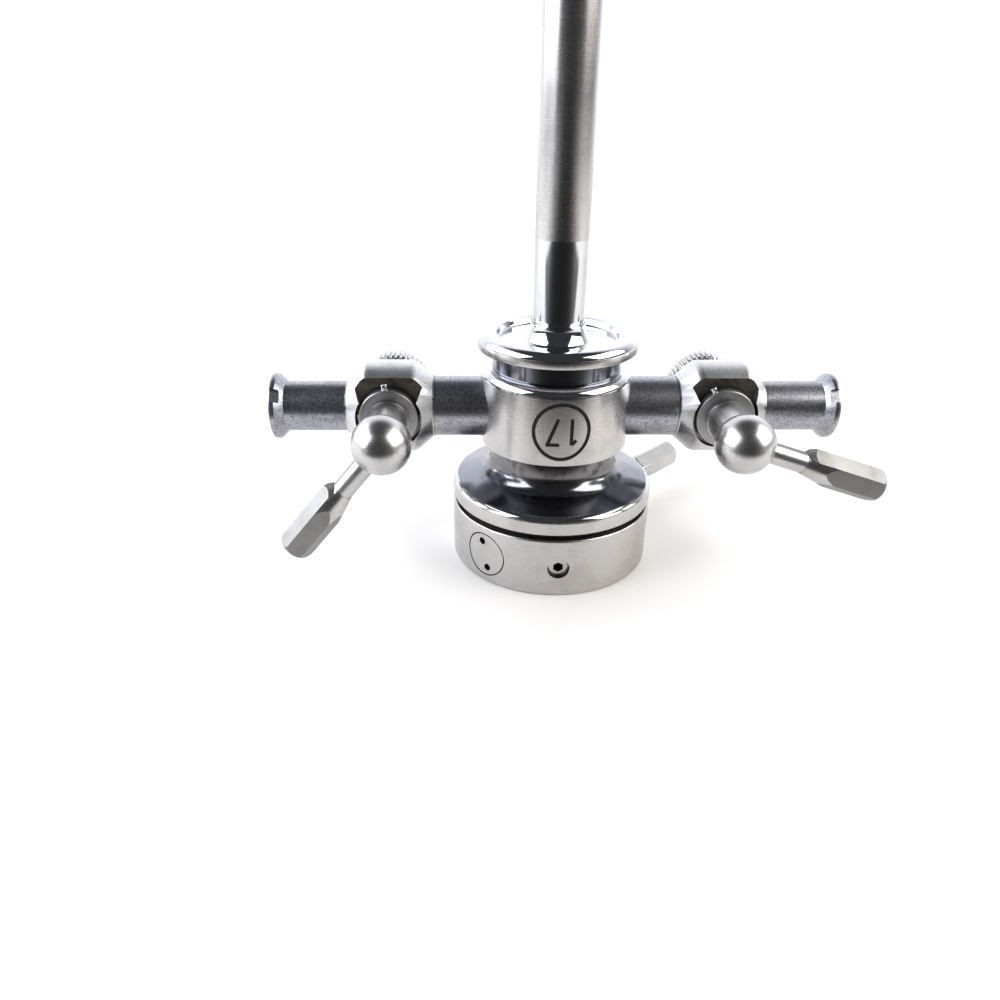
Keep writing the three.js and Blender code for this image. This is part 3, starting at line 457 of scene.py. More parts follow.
def hub():
    flange_radius = hub_high.x
    shoulder = ring_high.z + 0.06
    flange_bottom = ring_high.z + GROOVE_HEIGHT
    flange_top = flange_bottom + FLANGE_HEIGHT
    groove_radius = flange_radius - GROOVE_DEPTH
    neck_foot = flange_top + (flange_radius - NECK_RADIUS) * math.tan(math.radians(BELL_SLOPE))
    neck_top = collar_low.z - COLLAR_SEAM
    seat_radius = span("sheath_tube")[1].x + SEAM
    seat = hub_high.z - TUBE_SEAT_DEPTH
    socket_top = hub_low.z + SOCKET_DEPTH
    bm = turned([
        (SOCKET_MOUTH_RADIUS, hub_low.z), (SPIGOT_RADIUS, hub_low.z), (SPIGOT_RADIUS, shoulder),
        (groove_radius, shoulder), (groove_radius, flange_bottom), (flange_radius, flange_bottom),
        (flange_radius, flange_top), (NECK_RADIUS, neck_foot), (NECK_RADIUS, neck_top),
        (CORE_RADIUS, neck_top), (CORE_RADIUS, hub_high.z), (seat_radius, hub_high.z),
        (seat_radius, seat), (LUMEN_RADIUS, seat), (LUMEN_RADIUS, socket_top),
        (SOCKET_END_RADIUS, socket_top),
    ], LARGE_TURN)
    round_off(bm, ring_edges(bm, flange_radius, flange_top), BELL_EDGE_ROUND, 6)
    round_off(bm, ring_edges(bm, NECK_RADIUS, neck_foot), BELL_FILLET, 6)
    round_off(bm, ring_edges(bm, flange_radius, flange_bottom), EDGE_BREAK, 2)
    round_off(bm, ring_edges(bm, NECK_RADIUS, neck_top), 0.15, 2)
    round_off(bm, ring_edges(bm, SOCKET_MOUTH_RADIUS, hub_low.z), EDGE_BREAK, 2)
    paint(bm, 1, lambda c: c.xy.length > flange_radius - 0.1 and c.z > flange_bottom)
    # The groove under the flange and the hidden spigot: matt black, painted shade in the groove.
    paint(bm, 2, lambda c: CORE_RADIUS < c.xy.length < flange_radius - 0.1 and c.z < flange_bottom + 0.05)
    # The bell's slope: darker buffed steel, painted shade on its reflections.
    paint(bm, 4, lambda c: CORE_RADIUS < c.xy.length < flange_radius - BELL_EDGE_ROUND and c.z > flange_top)
    # The neck: stained steel, darkened partly as painted shade under the collar.
    paint(bm, 3, lambda c: CORE_RADIUS < c.xy.length < NECK_RADIUS + 0.25 and c.z > flange_top)
    finish_piece(bm, "hub", ["hub_body"], "sheath", "polished_steel",
                 buffed, turned_z, ink_and_shade_black, stained_and_shaded, shaded_buffed)


def stroke(start, end, width):
    """A straight cutter stroke in the XZ plane, reaching through the collar's front wall."""
    start, end = Vector(start), Vector(end)
    half = (end - start).length / 2
    angle = math.degrees(math.atan2(end.y - start.y, end.x - start.x))
    middle = (start + end) / 2
    bar_mesh = block((-half, -MARK_CUTTER_REACH, -width / 2), (half, MARK_CUTTER_REACH, width / 2))
    return place(bar_mesh, ("Y", -angle), (middle.x, 0, middle.y))


def collar():
    radius = collar_high.x
    bore = CORE_RADIUS + SEAM
    bm = turned([
        (bore, collar_low.z), (radius, collar_low.z), (radius, collar_high.z), (bore, collar_high.z),
    ], LARGE_TURN)
    round_off(bm, ring_edges(bm, radius, collar_high.z), COLLAR_SHOULDER, 8)
    round_off(bm, ring_edges(bm, radius, collar_low.z), FINE_BREAK, 2)
    arm_radius = span("left_inner_arm")[1].y + SEAM
    hole = place(bar(arm_radius, -radius - 1, radius + 1, MEDIUM_TURN), ALONG_X, (0, 0, arm_z))
    ring = turned([
        (MARK_RADIUS - MARK_LINE, -MARK_CUTTER_REACH), (MARK_RADIUS, -MARK_CUTTER_REACH),
        (MARK_RADIUS, MARK_CUTTER_REACH), (MARK_RADIUS - MARK_LINE, MARK_CUTTER_REACH),
    ], MEDIUM_TURN)
    lines = [place(ring, ("X", 90))]
    lines += [stroke(*ends, MARK_LINE) for ends in (SEVEN_BAR, SEVEN_STEM, ONE_STEM, ONE_FLAG)]
    engraving = []
    for line in lines:
        bmesh.ops.scale(line, vec=(1, 1, MARK_STRETCH), verts=line.verts)
        place(line, (0, -radius, arm_z + MARK_LIFT))
        uncut = bar(radius - MARK_DEPTH, collar_low.z, collar_high.z, LARGE_TURN)
        engraving.append(cut(line, uncut))
    bm = cut(bm, hole, *engraving)
    paint(bm, 1, lambda c: c.y < -7.9 and radius - 0.3 < c.xy.length < radius - 0.01
          and abs(c.z - arm_z) < 3.7)
    paint(bm, 2, lambda c: c.z > collar_high.z - COLLAR_SHOULDER * 0.98)
    finish_piece(bm, "stopcock_collar_piece", ["stopcock_collar"], "sheath", "satin_steel",
                 turned_z, ink_and_shade_black, buffed)


def disc():
    low, high = span("front_disc")
    bore = span("sheath_tube")[1].x + SEAM
    radius = high.x
    underside = low.z + DISC_BOTTOM_RISE
    top = underside + DISC_THICKNESS
    dish = top - DISH_DEPTH
    root = [
        (bore + ROOT_WALL + ROOT_FLARE * (1 - rise) ** 2.2, dish + (high.z - dish) * rise)
        for rise in (0, 0.12, 0.25, 0.4, 0.55, 0.7, 0.85, 1)
    ]
    bm = turned([
        (bore, low.z), (UPPER_NECK_RADIUS, low.z), (UPPER_NECK_RADIUS, underside), (radius, underside),
        (radius, top), (radius - DISC_RIM, top), (radius - DISC_RIM - 0.15, dish), *root, (bore, high.z),
    ], LARGE_TURN)
    round_off(bm, ring_edges(bm, radius, top), DISC_ROUND, 8)
    round_off(bm, ring_edges(bm, radius, underside), 0.12, 2)
    round_off(bm, ring_edges(bm, UPPER_NECK_RADIUS, underside), 0.2, 3)
    round_off(bm, ring_edges(bm, radius - DISC_RIM, top), 0.15, 3)
    round_off(bm, ring_edges(bm, radius - DISC_RIM - 0.15, dish), 0.2, 3)
    paint(bm, 1, lambda c: c.xy.length > UPPER_NECK_RADIUS + 0.3 and c.z < top - DISC_ROUND)
    # The neck under the disc: darker buffed steel, painted shade between the disc and the collar.
    paint(bm, 2, lambda c: c.xy.length > bore + 1 and c.z < underside - 0.25)
    finish_piece(bm, "front_disc_piece", ["front_disc"], "sheath", "polished_steel",
                 buffed, turned_z, shaded_buffed)


def tube():
    low, high = span("sheath_tube")
    buffed_end = span("front_disc")[1].z - 1.1 + BUFFED_LENGTH
    bm = turned([
        (LUMEN_RADIUS, low.z), (high.x, low.z), (high.x, buffed_end), (high.x, high.z),
        (LUMEN_RADIUS, high.z),
    ], MEDIUM_TURN)
    paint(bm, 1, lambda c: c.z > buffed_end)
    finish_piece(bm, "tube", ["sheath_tube"], "sheath", "satin_steel", buffed, turned_z)


def tip():
    low, high = span("distal_tip")
    radius = high.x
    bore = radius - TIP_WALL
    bm = turned([(bore, low.z), (radius, low.z), (radius, high.z), (bore, high.z)], MEDIUM_TURN)
    size = 4 * radius
    mouth = place(
        block((-size / 2, -size, -2 * size), (size / 2, 0, 2 * size)),
        ("X", -TIP_MOUTH_ANGLE), (0, TIP_WALL - radius, low.z - SEAM + TIP_MOUTH_RISE),
    )
    bm = cut(bm, mouth)
    break_edges(bm, 0.18, 40, 4)
    finish_piece(bm, "distal_tip_piece", ["distal_tip"], "sheath", "polished_steel", buffed)


# Arms, housings and Luer ends ---------------------------------------------------------------------


def mirrored(bm, side):
    """The left-hand pieces are the right-hand ones mirrored across the tube."""
    if side == "left":
        bmesh.ops.scale(bm, vec=(-1, 1, 1), verts=bm.verts)
        bmesh.ops.recalc_face_normals(bm, faces=bm.faces)
    return bm


def inner_arm(side):
    low, high = span("right_inner_arm")
    bm = turned([
        (FLUID_BORE_RADIUS, low.x), (high.y, low.x), (high.y, high.x), (FLUID_BORE_RADIUS, high.x),
    ], MEDIUM_TURN)
    place(bm, ALONG_X, (0, 0, arm_z))
    finish_piece(mirrored(bm, side), f"{side}_arm", [f"{side}_inner_arm"], "sheath", "blasted_steel",
                 blasted)


def plug_radius(y):
    share = (y + FLANGE_BACK) / (FLANGE_BACK + span("right_tap_housing")[1].y)
    return PLUG_FRONT_RADIUS + (PLUG_REAR_RADIUS - PLUG_FRONT_RADIUS) * share


def housing(side):
    low, high = span("right_tap_housing")
    middle = (low.x + high.x) / 2
    half = (high.x - low.x) / 2
    barrel = (high.z - low.z) / 2
    inner = span("right_inner_arm")[1].y + INNER_END_STEP
    outer = span("right_luer_tube")[1].y - TUBE_STEP + OUTER_END_STEP
    bm = turned([
        (FLUID_BORE_RADIUS, -half), (inner, -half), (inner, -half + END_BAND),
        (barrel, -BARREL_HALF_LENGTH), (barrel, BARREL_HALF_LENGTH),
        (outer, half - END_BAND), (outer, half), (FLUID_BORE_RADIUS, half),
    ], MEDIUM_TURN)
    for end in (-BARREL_HALF_LENGTH, BARREL_HALF_LENGTH):
        round_off(bm, ring_edges(bm, barrel, end), BARREL_EDGE_ROUND, 8)
    place(bm, ALONG_X)
    past = barrel + 1
    front_face = barrel - FRONT_FACE_DEPTH
    rear_face = barrel - REAR_FACE_DEPTH
    plug_hole = turned([
        (0, -past), (plug_radius(-past) + SEAM, -past), (plug_radius(past) + SEAM, past), (0, past),
    ], MEDIUM_TURN)
    pocket = bar(FLANGE_RADIUS + POCKET_CLEARANCE, -past, -front_face, MEDIUM_TURN)
    nut_radius = (span("right_knurled_nut")[1].z - span("right_knurled_nut")[0].z) / 2
    spot_face = bar(nut_radius + REAR_FACE_CLEARANCE, rear_face, past, MEDIUM_TURN)
    window = block((-WINDOW_HALF_WIDTH, -past, WINDOW_BOTTOM - WINDOW_ROOT),
                   (WINDOW_HALF_WIDTH, 0.02 - front_face, past))
    for vert in window.verts:
        flare = (vert.co.z - WINDOW_BOTTOM) * WINDOW_FLARE
        vert.co.x += flare if vert.co.x > 0 else -flare
    bm = cut(bm, place(plug_hole, ALONG_Y), place(pocket, ALONG_Y), place(spot_face, ALONG_Y), window)
    break_edges(bm, 0.06, 30, 2)
    # The floor of the window and of the pocket above the plug: darker steel, painted shade in the recess.
    paint(bm, 1, lambda c: abs(c.y + front_face) < 0.05 and c.z > 0)
    place(bm, (middle, 0, arm_z))
    finish_piece(mirrored(bm, side), f"{side}_housing", [f"{side}_tap_housing"], "sheath", "satin_steel",
                 fine_blasted, recess_shade_steel)


def luer_end(side):
    low, high = span("right_luer_tube")
    lug = high.y
    tube_radius = lug - TUBE_STEP
    back = high.x - LUER_RIM - 0.2 - LUER_BACK
    cone = high.x - LUER_CONE_DEPTH
    bm = turned([
        (FLUID_BORE_RADIUS, low.x), (tube_radius, low.x), (tube_radius, back + LUER_FOOT),
        (lug - 0.06, back + LUER_BACK), (lug, back + LUER_BACK + 0.1), (lug, high.x),
        (LUER_MOUTH_RADIUS, high.x), (LUER_MOUTH_RADIUS - LUER_CONE_LOSS, cone),
        (FLUID_BORE_RADIUS, cone - 0.5),
    ], MEDIUM_TURN)
    round_off(bm, ring_edges(bm, lug, high.x), EDGE_BREAK, 2)
    round_off(bm, ring_edges(bm, LUER_MOUTH_RADIUS, high.x), EDGE_BREAK, 2)
    notches = []
    for turn in (NOTCH_TURN, NOTCH_TURN + 180):
        reach = 2 * lug * math.sin(math.radians(NOTCH_ANGLE / 2))
        notch = block((lug - NOTCH_DEPTH, -reach / 2, back), (lug + 1, reach / 2, high.x + 1))
        notches.append(place(notch, ("Z", turn)))
    bm = cut(bm, *notches)
    place(bm, ALONG_X, (0, 0, arm_z))
    finish_piece(mirrored(bm, side), f"{side}_luer_end", [f"{side}_luer_tube"], "sheath", "blasted_steel",
                 blasted)


# Taps: each is made with its lever along +X and its handle towards -Y, then swung into place ----------


def swing(bm, side):
    low, high = span("right_knurled_nut")
    place(bm, ("Y", LEVER_DROP[side]), ((low.x + high.x) / 2, 0, arm_z))
    return mirrored(bm, side)


ball_y = span("right_tap_plug")[0].y + BALL_RADIUS


def plug(side):
    tail_end = span("right_tap_plug")[1].y
    cone_end = span("right_tap_housing")[1].y - SEAM
    seat = -math.sqrt(BALL_RADIUS ** 2 - STEM_RADIUS ** 2)
    pole = math.degrees(math.asin(seat / BALL_RADIUS))
    angles = [-90 + (90 - pole) * i / 24 for i in range(25)]
    ball = [(BALL_RADIUS * math.cos(math.radians(a)), ball_y + BALL_RADIUS * math.sin(math.radians(a)))
            for a in angles]
    bm = turned([
        (0, ball_y - BALL_RADIUS), *ball[1:],
        (STEM_RADIUS, -FLANGE_FRONT - STEM_COLLAR_HEIGHT),
        (STEM_RADIUS + STEM_COLLAR, -FLANGE_FRONT - STEM_COLLAR_HEIGHT),
        (STEM_RADIUS + STEM_COLLAR, -FLANGE_FRONT), (FLANGE_RADIUS, -FLANGE_FRONT),
        (FLANGE_RADIUS, -FLANGE_BACK), (PLUG_FRONT_RADIUS, -FLANGE_BACK),
        (plug_radius(cone_end), cone_end), (TAIL_RADIUS, cone_end),
        (TAIL_RADIUS, tail_end), (0, tail_end),
    ], MEDIUM_TURN)
    round_off(bm, ring_edges(bm, STEM_RADIUS, ball[-1][1]), STEM_FILLET, 4)
    round_off(bm, ring_edges(bm, FLANGE_RADIUS, -FLANGE_FRONT), FLANGE_CHAMFER, 3)
    round_off(bm, ring_edges(bm, STEM_RADIUS + STEM_COLLAR, -FLANGE_FRONT - STEM_COLLAR_HEIGHT), 0.05, 2)
    round_off(bm, ring_edges(bm, TAIL_RADIUS, tail_end), TAIL_CHAMFER, 3)
    paint(bm, 1, lambda c: -FLANGE_FRONT - 0.05 < c.z < tail_end)
    place(bm, ALONG_Y)
    hole = bar(ROD_RADIUS + 0.02, BALL_RADIUS - ROD_SEAT, BALL_RADIUS + 1)
    bm = cut(bm, place(hole, ALONG_X, (0, ball_y, 0)))
    finish_piece(swing(bm, side), f"{side}_ball_plug", [f"{side}_tap_plug"], f"{side}_tap", "satin_steel",
                 half_buffed, face_turned)


def stop_pin(side):
    bm = bar(STOP_PIN_RADIUS, STOP_PIN_START, STOP_PIN_REACH)
    break_edges(bm, 0.08, 40, 3)
    middle = -(FLANGE_FRONT + FLANGE_BACK) / 2
    place(bm, ALONG_X, ("Y", -STOP_PIN_ANGLE), (0, middle, 0))
    finish_piece(swing(bm, side), f"{side}_stop_pin_piece", [f"{side}_stop_pin"], f"{side}_tap",
                 "polished_steel", buffed)


def lever(surface, rod_length):
    """A lever along +X: a rod seated in a surface, growing into a hexagonal paddle. The paddle's foot
    is turned to a cone, except under its upper facets."""
    start = surface + rod_length
    end = start + PADDLE_LENGTH
    facet = PADDLE_RADIUS / 2
    hexagon = bar(PADDLE_RADIUS, start, end, 6)
    outline = turned([
        (0, start), (ROD_RADIUS + 0.05, start), (PADDLE_RADIUS + 0.02, start + PADDLE_SHOULDER),
        (PADDLE_RADIUS + 0.02, end - PADDLE_END_CHAMFER),
        (PADDLE_RADIUS - 0.12, end - 0.6 * PADDLE_END_CHAMFER),
        (PADDLE_RADIUS - 0.4, end - 0.25 * PADDLE_END_CHAMFER),
        (PADDLE_RADIUS - PADDLE_END_CHAMFER, end), (0, end),
    ], MEDIUM_TURN)
    foot = turned([
        (ROD_RADIUS, start - 1), (ROD_RADIUS + 0.05, start), (PADDLE_RADIUS + 0.05, start + PADDLE_TAPER),
        (PADDLE_RADIUS + 1, start + PADDLE_TAPER), (PADDLE_RADIUS + 1, start - 1),
    ], MEDIUM_TURN)
    under_facets = block((-PADDLE_RADIUS - 2, -PADDLE_RADIUS - 2, start - 2),
                         (facet, PADDLE_RADIUS + 2, start + PADDLE_TAPER + 1))
    foot = cut(foot, under_facets, operation="INTERSECT")
    bm = cut(cut(hexagon, outline, operation="INTERSECT"), foot)
    break_edges(bm, 0.08, 25, 2)
    rod = bar(ROD_RADIUS, surface - ROD_SEAT, start + 1.2)
    bm = cut(bm, rod, operation="UNION")
    paint(bm, 1, lambda c: c.z < start + PADDLE_TAPER - 0.1 and c.x < facet)
    return place(bm, ALONG_X, ("X", 180))


def tap_lever(side):
    bm = place(lever(BALL_RADIUS, TAP_ROD_LENGTH), (0, ball_y, 0))
    finish_piece(swing(bm, side), f"{side}_lever", [f"{side}_tap_lever"], f"{side}_tap", "satin_steel",
                 milled, half_buffed, smooth_limit=9)


def lock_lever():
    low, high = span("lock_lever")
    bm = lever(ring_high.x, LOCK_ROD_LENGTH)
    place(bm, ("Z", LOCK_LEVER_ANGLE), (0, 0, (low.z + high.z) / 2))
    finish_piece(bm, "ring_lever", ["lock_lever"], "lock_ring", "satin_steel", half_buffed,
                 half_buffed, smooth_limit=9)


def nut(side):
    low, high = span("right_knurled_nut")
    radius = (high.z - low.z) / 2
    bore = TAIL_RADIUS + WASHER_BORE_CLEARANCE
    bm = turned([
        (bore, low.y + NUT_RECESS_DEPTH), (NUT_RECESS_RADIUS, low.y + NUT_RECESS_DEPTH),
        (NUT_RECESS_RADIUS, low.y), (radius - NUT_CHAMFER, low.y),
        (radius, low.y + NUT_CHAMFER), (radius, high.y - NUT_CHAMFER),
        (radius - NUT_CHAMFER, high.y), (bore, high.y),
    ], 6 * KNURL_TEETH)
    def in_groove(vert):
        angle = math.atan2(vert.co.y, vert.co.x) % math.tau
        in_tooth_gap = round(angle * 6 * KNURL_TEETH / math.tau) % 6 in (2, 3, 4)
        return in_tooth_gap and vert.co.xy.length > radius - 0.5
    grooved = [vert for vert in bm.verts if in_groove(vert)]
    shrink = 1 - KNURL_DEPTH / radius
    bmesh.ops.scale(bm, vec=(shrink, shrink, 1), verts=grooved)
    place(bm, ALONG_Y)
    finish_piece(swing(bm, side), f"{side}_nut", [f"{side}_knurled_nut"], f"{side}_tap", "satin_steel",
                 turned_y, smooth_limit=25)


def washers(side):
    low, high = span("right_thrust_washer")
    radius = (high.z - low.z) / 2
    bore = TAIL_RADIUS + WASHER_BORE_CLEARANCE
    bm = turned([(bore, low.y), (radius, low.y), (radius, high.y), (bore, high.y)])
    break_edges(bm)
    finish_piece(swing(place(bm, ALONG_Y), side), f"{side}_thrust_washer_piece", [f"{side}_thrust_washer"],
                 f"{side}_tap", "satin_steel", turned_y)
    low, high = span("right_spring_washer")
    radius = (high.z - low.z) / 2
    bore += WASHER_BORE_CLEARANCE
    rise = high.y - SPRING_WASHER_THICKNESS
    bm = turned([(bore, rise), (radius, low.y), (radius, low.y + SPRING_WASHER_THICKNESS), (bore, high.y)])
    break_edges(bm)
    finish_piece(swing(place(bm, ALONG_Y), side), f"{side}_spring_washer_piece", [f"{side}_spring_washer"],
                 f"{side}_tap", "spring_steel", sprung)


# Lock ring ------------------------------------------------------------------------------------------


def at_front(bm, angle, height):
    """Swings a mesh made along +X to an angle from the front, and lifts it."""
    return place(bm, ALONG_X, ("Z", angle - 90), (0, 0, height))


detent_z = (ring_low.z + ring_high.z) / 2


def lock_ring():
    radius = ring_high.x
    top = ring_high.z
    bm = turned([
        (LIP_BORE_RADIUS, 0), (radius, 0), (radius, top), (RING_BORE_RADIUS, top),
        (RING_BORE_RADIUS, LIP_HEIGHT), (LIP_BORE_RADIUS, LIP_HEIGHT),
    ], LARGE_TURN)
    for height in (0, top):
        round_off(bm, ring_edges(bm, radius, height), RING_CHAMFER, 3)
    past = radius + 1
    slot_half = RING_BORE_RADIUS - BAYONET_SLOT_END
    slot = block((-slot_half, -BAYONET_SLOT_WIDTH / 2, -1),
                 (slot_half, BAYONET_SLOT_WIDTH / 2, LIP_HEIGHT + 0.01))
    guide_hole = at_front(bar(GUIDE_SCREW_RADIUS + SEAM, SPIGOT_RADIUS, past), 0, detent_z)
    seat = radius - DETENT_SCREW_THICKNESS
    screw_hole = bar(DETENT_SCREW_RADIUS + DETENT_OUTLINE, seat, past, MEDIUM_TURN)
    lever_low, lever_high = span("lock_lever")
    lever_hole = bar(ROD_RADIUS + 0.02, radius - ROD_SEAT, past)
    place(lever_hole, ALONG_X, ("Z", LOCK_LEVER_ANGLE), (0, 0, (lever_low.z + lever_high.z) / 2))
    bm = cut(bm, slot, guide_hole, at_front(screw_hole, DETENT_ANGLE, detent_z), lever_hole)
    guide = Vector((0, -radius, detent_z))
    # The hole round the sunk guide screw: darker steel, painted shade.
    paint(bm, 1, lambda c: (c - guide).length < 3 and c.y > -radius + 0.04 and c.xy.length < radius - 0.04)
    angle = math.radians(DETENT_ANGLE)
    screw = Vector((radius * math.sin(angle), -radius * math.cos(angle), detent_z))
    paint(bm, 2, lambda c: (c - screw).length < 3.4 and c.xy.length < radius - 0.04)
    finish_piece(bm, "lock_ring_piece", ["lock_ring"], "lock_ring", "satin_steel", turned_z, recess_shade_steel, ink_and_shade_black)


def detent_screw():
    radius = ring_high.x
    seat = radius - DETENT_SCREW_THICKNESS
    bm = bar(DETENT_SCREW_RADIUS, seat + SEAM, radius + 1, MEDIUM_TURN)
    flush = place(bar(radius - 0.03, -8, 8, LARGE_TURN), ("Y", -90))
    holes = []
    for height in (-SPANNER_HOLE_SPACING / 2, SPANNER_HOLE_SPACING / 2):
        hole = bar(SPANNER_HOLE_RADIUS, radius - SPANNER_HOLE_DEPTH, radius + 2, 32)
        holes.append(place(hole, (height, 0, 0), ("Z", SPANNER_HOLE_TILT)))
    bm = cut(cut(bm, flush, operation="INTERSECT"), *holes)
    tilt = math.radians(SPANNER_HOLE_TILT)
    to_hole = Vector((math.cos(tilt), math.sin(tilt))) * SPANNER_HOLE_SPACING / 2
    # The spanner holes: matt black, painted shade inside them.
    paint(bm, 1, lambda c: min((c.xy - to_hole).length, (c.xy + to_hole).length) < SPANNER_HOLE_RADIUS + 0.02
          and c.z > seat + 0.2)
    finish_piece(at_front(bm, DETENT_ANGLE, detent_z), "detent_screw_piece", ["detent_screw"], "lock_ring",
                 "satin_steel", turned_y, ink_and_shade_black)


def guide_screw():
    end = ring_high.x - GUIDE_SCREW_SUNK
    bm = bar(GUIDE_SCREW_RADIUS, SPIGOT_RADIUS - GUIDE_SCREW_REACH, end)
    break_edges(bm, 0.1, 40, 2)
    socket = bar(GUIDE_SOCKET_RADIUS, end - GUIDE_SOCKET_DEPTH, end + 1, 6)
    bm = cut(bm, socket)
    # The hex socket: matt black, painted shade inside it.
    paint(bm, 1, lambda c: c.xy.length < GUIDE_SOCKET_RADIUS and c.z > end - GUIDE_SOCKET_DEPTH - 0.1)
    finish_piece(at_front(bm, 0, detent_z), "guide_screw_piece", ["guide_screw"], "lock_ring",
                 "satin_steel", turned_y, ink_and_shade_black)


# Everything together -------------------------------------------------------------------------------

hub()
collar()
disc()
tube()
tip()
for side in ("left", "right"):
    inner_arm(side)
    housing(side)
    luer_end(side)
    plug(side)
    stop_pin(side)
    tap_lever(side)
    nut(side)
    washers(side)
lock_ring()
lock_lever()
detent_screw()
guide_screw()

for name, material in (("detent_ball", buffed), ("detent_spring", sprung)):
    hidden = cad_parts[name]
    hidden.data.materials.clear()
    hidden.data.materials.append(material)


# Room: pale floor, a white back wall, two windows and a dark room behind the camera --------------------


def floor():
    """A pale matt table top."""
    material = bpy.data.materials.new("pale_table")
    material.use_nodes = True
    tree = material.node_tree
    tree.nodes.clear()
    place_in = add_node(tree, "ShaderNodeTexCoord").outputs["Object"]
    cloud = add_node(tree, "ShaderNodeTexNoise", {"Vector": place_in, "Scale": per_mm(40), "Detail": 4.0})
    tone = add_node(tree, "ShaderNodeMix", {
        "Factor": cloud.outputs["Fac"], "A": srgb("#F1EEEB"), "B": srgb("#F8F6F4")}, data_type="RGBA")
    reach = add_node(tree, "ShaderNodeVectorMath", {0: place_in}, operation="LENGTH")
    fade = add_node(tree, "ShaderNodeMapRange", {
        "Value": reach.outputs["Value"], "From Min": 0.35, "From Max": 0.9, "To Min": 1.0, "To Max": 0.0})
    surface = add_node(tree, "ShaderNodeBsdfPrincipled", {
        "Base Color": tone.outputs["Result"], "Roughness": 0.5, "Alpha": fade.outputs["Result"]})
    add_node(tree, "ShaderNodeOutputMaterial", {"Surface": surface.outputs["BSDF"]})
    bm = bmesh.new()
    bmesh.ops.create_grid(bm, x_segments=1, y_segments=1, size=1)
    top = scratch_object(bm, "floor")
    top.data.materials.append(material)


def painted_shadow_card():
    """A painted shadow on the table in front of the head: a dark sheet standing for the camera's shadow,
    seen only in the polished steel. It gives the tube and the balls their dark middles."""
    material = bpy.data.materials.new("painted_shadow_card")
    material.use_nodes = True
    tree = material.node_tree
    tree.nodes.clear()
    place_in = add_node(tree, "ShaderNodeTexCoord").outputs["Object"]
    parts = add_node(tree, "ShaderNodeSeparateXYZ", {"Vector": place_in})
    edge = add_node(tree, "ShaderNodeMapRange", {
        "Value": parts.outputs["Y"], "From Min": -0.04, "From Max": -0.062, "To Min": 0.0, "To Max": 1.0})
    surface = add_node(tree, "ShaderNodeBsdfPrincipled", {
        "Base Color": srgb("#161514"), "Roughness": 0.6, "Alpha": edge.outputs["Result"]})
    add_node(tree, "ShaderNodeOutputMaterial", {"Surface": surface.outputs["BSDF"]})
    bm = bmesh.new()
    bmesh.ops.create_grid(bm, x_segments=1, y_segments=1, size=0.5)
    bmesh.ops.scale(bm, vec=(0.4, 1, 1), verts=bm.verts)
    bmesh.ops.translate(bm, vec=(0, -0.54, 0.0004), verts=bm.verts)
    card = scratch_object(bm, "painted_shadow_card")
    card.data.materials.append(material)
    card.visible_camera = False
    card.visible_diffuse = False
    card.visible_shadow = False


def softbox(name, location, target, width, height, power, colour):
    light = bpy.data.lights.new(name, "AREA")
    light.shape = "RECTANGLE"
    light.size = width
    light.size_y = height
    light.energy = power
    light.color = srgb(colour)[:3]
    made = bpy.data.objects.new(name, light)
    made.location = location
    made.rotation_euler = (Vector(target) - Vector(location)).to_track_quat("-Z", "Y").to_euler()
    bpy.context.scene.collection.objects.link(made)


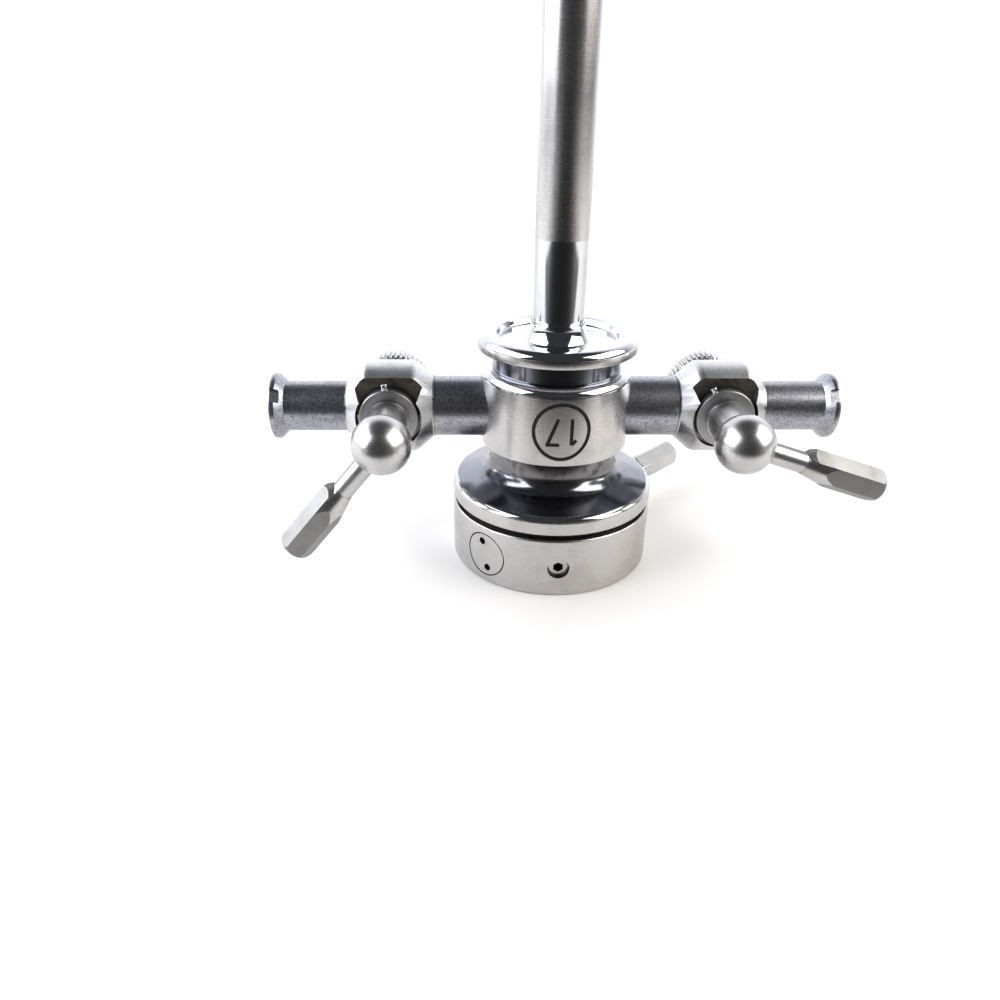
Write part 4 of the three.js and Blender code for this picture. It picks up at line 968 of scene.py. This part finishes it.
def room():
    floor()
    # A painted shadow on the table, seen only in the steel.
    painted_shadow_card()
    world = bpy.data.worlds.new("room")
    bpy.context.scene.world = world
    world.use_nodes = True
    tree = world.node_tree
    tree.nodes.clear()
    direction = add_node(tree, "ShaderNodeTexCoord").outputs["Generated"]
    parts = add_node(tree, "ShaderNodeSeparateXYZ", {"Vector": direction})
    behind = add_node(tree, "ShaderNodeMapRange", {
        "Value": parts.outputs["Y"], "From Min": 0.1, "From Max": 0.75, "To Min": 0.0, "To Max": 1.0})
    low_down = add_node(tree, "ShaderNodeMapRange", {
        "Value": parts.outputs["Z"], "From Min": 0.88, "From Max": 0.66, "To Min": 0.0, "To Max": 1.0})
    wall = add_node(tree, "ShaderNodeMath", {
        0: behind.outputs["Result"], 1: low_down.outputs["Result"]}, operation="MULTIPLY")
    light = add_node(tree, "ShaderNodeMapRange", {
        "Value": wall.outputs["Value"], "From Min": 0.0, "From Max": 1.0, "To Min": 0.075, "To Max": 1.4})
    lit = add_node(tree, "ShaderNodeBackground", {
        "Color": srgb("#F8FAFF"), "Strength": light.outputs["Result"]})
    paper = add_node(tree, "ShaderNodeBackground", {"Color": srgb("#FCFCFC"), "Strength": 1.0})
    seen = add_node(tree, "ShaderNodeLightPath").outputs["Is Camera Ray"]
    both = add_node(tree, "ShaderNodeMixShader", {
        0: seen, 1: lit.outputs["Background"], 2: paper.outputs["Background"]})
    add_node(tree, "ShaderNodeOutputWorld", {"Surface": both.outputs["Shader"]})
    softbox("left_window", (-0.75, -0.02, 0.42), (0, 0, 0.02), 1.15, 0.7, 10.5, "#F6F9FF")
    softbox("right_window", (0.72, -0.16, 0.5), (0, 0, 0.02), 0.85, 0.7, 8.0, "#FFFDF9")


def camera():
    """Looks down on the head from the front, a little from the left."""
    data = bpy.data.cameras.new("camera")
    data.sensor_width = 36
    data.lens = 27.58
    data.clip_start, data.clip_end = 0.005, 20
    made = bpy.data.objects.new("camera", data)
    pitch, yaw, roll = 0.4836, 0.0325, -0.0112
    forward = Vector((math.sin(yaw) * math.cos(pitch), math.cos(yaw) * math.cos(pitch), -math.sin(pitch)))
    right = Vector((math.cos(yaw), -math.sin(yaw), 0))
    up = right.cross(forward)
    x = math.cos(roll) * right - math.sin(roll) * up
    y = math.sin(roll) * right + math.cos(roll) * up
    turn = Matrix((x, y, -forward)).transposed().to_4x4()
    made.matrix_world = Matrix.Translation(Vector((-9.39, -87.98, 52.60)) * 0.001) @ turn
    bpy.context.scene.collection.objects.link(made)
    bpy.context.scene.camera = made


room()
camera()
bpy.context.scene.view_settings.view_transform = "Standard"
bpy.context.scene.view_settings.look = "Medium High Contrast"
